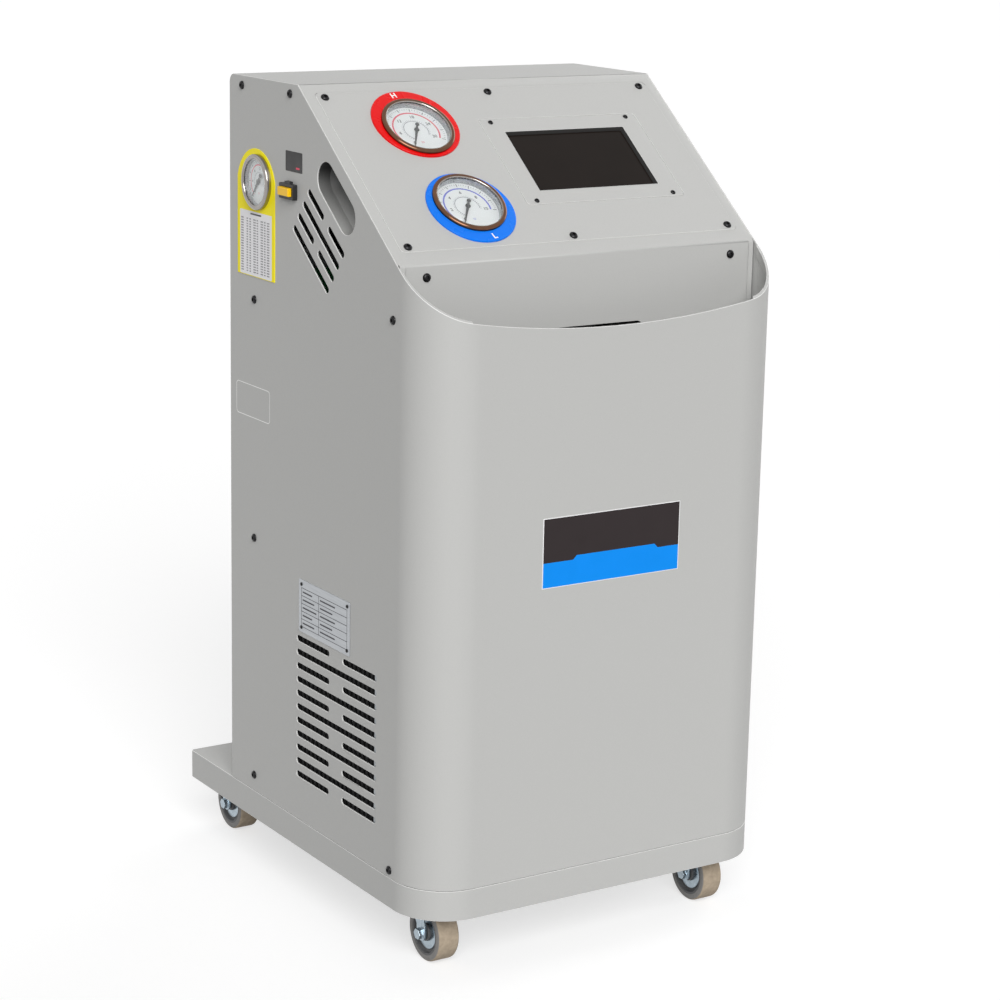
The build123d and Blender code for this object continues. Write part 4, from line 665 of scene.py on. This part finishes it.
# Condenser: aluminium fins pressed on tubes between end plates, coated black, and its fan; the fins' near-black
# colour is also a painted shade seen through the low vents.
fins = surface("black_fins_with_painted_shade", "#0b0b0c", "#111112", 3, (0.7, 0.85), stretch=(1, 1, 0.1))
fins.node_tree.nodes["Principled BSDF"].inputs["Specular IOR Level"].default_value = 0.2
formed("condenser", fins, 0.15)
shroud_steel = surface("black_coated_steel", "#1d1e20", "#27282a", 2, (0.4, 0.55), relief=0.02)
fan_plastic = surface("moulded_black_polypropylene", "#202123", "#2a2b2d", 3, (0.4, 0.55), relief=0.02)
formed("fan_shroud", shroud_steel, 0.3)
formed("fan_rotor", fan_plastic, 0.25)


# Mounting plate: galvanised sheet across the rear posts, which carries the valves and the electronics.
formed("mounting_plate", galvanised, 0.3)
block_aluminium = surface("milled_aluminium_block", "#b9bbbd", "#a6a9ab", 1.5, (0.25, 0.4), 1, stretch=(1, 8, 8))
formed("valve_block", block_aluminium, 0.5)
formed("solenoid_coils", module_plastic, 0.5)
board_laminate = surface("solder_masked_laminate", "#1f6b3c", "#185a31", 6, (0.3, 0.45))
formed("control_board", board_laminate, 0.15)
formed("power_supply", mill_aluminium, 0.3)
drier_enamel = surface("blue_grey_enamel", "#5c6b78", "#53616d", 3, (0.3, 0.42))
formed("filter_drier", drier_enamel, 0.6, split=True)


# Copper lines: 8 mm soft copper tube, bent over a former and brazed, dulled by handling.
soft_copper = surface("annealed_copper_tube", "#c07c58", "#8f5a42", 12, (0.25, 0.45), 1)
formed("copper_lines", soft_copper, 0.1)


# Back panel: 1.2 mm coated sheet with punched vents, screwed to the returns of the wrap.
def back_seat(x, z):
    return seat((x, 166.7, z), (-1, 0, 0), (0, 1, 0))


# Its rounded edges take the painted highlight.
formed("back_panel", powder_coat, 0.3, painted_edge_highlight)
m4_head = button_head(3.6, 1.8, 1.25)
back_places = [back_seat(x, z) for x in (-219, 219) for z in (118, 390, 640)]
piece("back_screws", m4_head, back_places, [black_oxide], "back_panel")
# A pad of open-cell foam behind the vents keeps dust out; its near-black colour is also a painted shade that keeps
# the inside dark.
dust_and_shade_foam = surface("open_cell_foam_filter_and_painted_shade", "#19191a", "#0f0f10", 2.5, (0.85, 1), relief=0.5)
pad = skin([level(rounded(200, 116, 3), -5.2), level(rounded(202, 118, 4), -3.5), level(rounded(200, 116, 3), -1.6)])
piece("vent_filter_and_painted_shade", pad, [back_seat(0, 720)], [dust_and_shade_foam], "back_panel")


# Power inlet: a moulded socket and rocker switch in one black housing, with nickel plated pins.
inlet_plastic = surface("moulded_black_polycarbonate", "#18181a", "#202022", 1.5, (0.3, 0.45), relief=0.02)
rocker_plastic = surface("moulded_switch_rocker", "#1c1c1e", "#252527", 1, (0.25, 0.38))
formed("power_inlet", inlet_plastic, 0.4)
formed("switch_rocker", rocker_plastic, 0.4)


# Service ports: turned brass couplings with hexagon nuts on both faces of the back panel.
formed("service_ports", brass, 0.3)


# Bottle rack: folded sheet in dark powder coat, with three polyethylene oil bottles and black caps.
dark_coat = surface("dark_powder_coat", "#3a3a3d", "#343437", 1.6, (0.45, 0.6), relief=0.03)
formed("bottle_rack", dark_coat, 0.3)
clear_plastic = surface("blown_polyethylene", "#dfe3e2", "#d3d8d7", 5, (0.3, 0.45), relief=0.03)
clear_plastic.node_tree.nodes["Principled BSDF"].inputs["Transmission Weight"].default_value = 0.35
bottle = [(27, 380), (29.4, 381), (30, 383.5), (30, 470)]
bottle += [(22 + 8 * math.cos(0.262 * step), 482 + 8 * math.sin(0.262 * step)) for step in range(7)]
bottle += [(14, 490), (14, 491)]
cap = [(15, 491), (15, 503)]
cap += [(13.8 + 1.2 * math.cos(0.524 * step), 503.8 + 1.2 * math.sin(0.524 * step)) for step in range(4)]
places = [seat((x, 200.5, 0), (1, 0, 0), (0, 0, 1)) for x in (-72, 0, 72)]
bottles = skin([ring(radius, height, 72) for radius, height in bottle])
piece("bottles", bottles, places, [clear_plastic], "oil_bottles", True)
ribbed = [[(x * (1 - 0.025 * (k % 2)), y * (1 - 0.025 * (k % 2)), z) for k, (x, y, z) in enumerate(points)]
          for points in (ring(radius, height, 72) for radius, height in cap)]
piece("bottle_caps", skin(ribbed), places, [module_plastic], "oil_bottles", hard=50)


# The floor is plain and pale; it is lit to white for the camera and keeps the shadow.
def only_seen(material, dark, bright):
    """A value that is bright on rays from the camera, mirrors and glass, and dark on all others."""
    path = add(material, "LightPath", {})
    mirror = {0: path.outputs["Is Camera Ray"], 1: path.outputs["Is Glossy Ray"]}
    seen = add(material, "Math", mirror, operation="MAXIMUM")
    glass = {0: seen.outputs[0], 1: path.outputs["Is Transmission Ray"]}
    seen = add(material, "Math", glass, operation="MAXIMUM")
    return add(material, "MapRange", {"Value": seen.outputs[0], "To Min": dark, "To Max": bright}).outputs[0]


floor_mesh = bpy.data.meshes.new("floor")
floor_mesh.from_pydata([(-60, -60, 0), (60, -60, 0), (60, 60, 0), (-60, 60, 0)], [], [(0, 1, 2, 3)])
floor = bpy.data.objects.new("floor", floor_mesh)
bpy.context.scene.collection.objects.link(floor)
floor_paint = bpy.data.materials.new("matt_white_floor_paint")
floor_paint.use_nodes = True
floor_shader = floor_paint.node_tree.nodes["Principled BSDF"]
floor_shader.inputs["Base Color"].default_value = linear("#bcbcbc")
floor_shader.inputs["Roughness"].default_value = 0.9
floor_shader.inputs["Specular IOR Level"].default_value = 0
floor_shader.inputs["Emission Color"].default_value = (1, 1, 1, 1)
floor_paint.node_tree.links.new(only_seen(floor_paint, 0, 0.6), floor_shader.inputs["Emission Strength"])
floor_mesh.materials.append(floor_paint)

world = bpy.data.worlds.new("studio")
world.use_nodes = True
bpy.context.scene.world = world
world_shader = world.node_tree.nodes["Background"]
world_shader.inputs["Color"].default_value = (1, 1, 1, 1)
world.node_tree.links.new(only_seen(world, 0.29, 1), world_shader.inputs["Strength"])

for name, energy, direction in (("key", 2.85, (-0.304, -0.652, 0.42)), ("fill", 0.9, (0.235, 0.086, 0.08))):
    lamp = bpy.data.lights.new(name, "SUN")
    lamp.energy = energy
    lamp.angle = math.radians(40)
    stand = bpy.data.objects.new(name, lamp)
    stand.rotation_mode = "QUATERNION"
    stand.rotation_quaternion = Vector(direction).to_track_quat("Z", "Y")
    bpy.context.scene.collection.objects.link(stand)


# The camera stands to the left of the front, a little above the top, and is tilted by one degree.
yaw = math.radians(32.7575)
pitch = math.radians(13.7108)
roll = math.radians(1.1945)
forward = Vector((math.sin(yaw) * math.cos(pitch), math.cos(yaw) * math.cos(pitch), -math.sin(pitch)))
level_right = Vector((math.cos(yaw), -math.sin(yaw), 0))
level_up = level_right.cross(forward)
right = level_right * math.cos(roll) + level_up * math.sin(roll)
up = level_up * math.cos(roll) - level_right * math.sin(roll)
lens = bpy.data.cameras.new("camera")
lens.sensor_width = 36
lens.lens = 96.1
lens.clip_end = 200
camera = bpy.data.objects.new("camera", lens)
turn = Matrix((right, up, -forward)).transposed().to_4x4()
camera.matrix_world = Matrix.Translation(Vector((-1600.6, -2542.1, 1183.3)) * MM) @ turn
bpy.context.scene.collection.objects.link(camera)
bpy.context.scene.camera = camera
bpy.context.scene.view_settings.view_transform = "Standard"
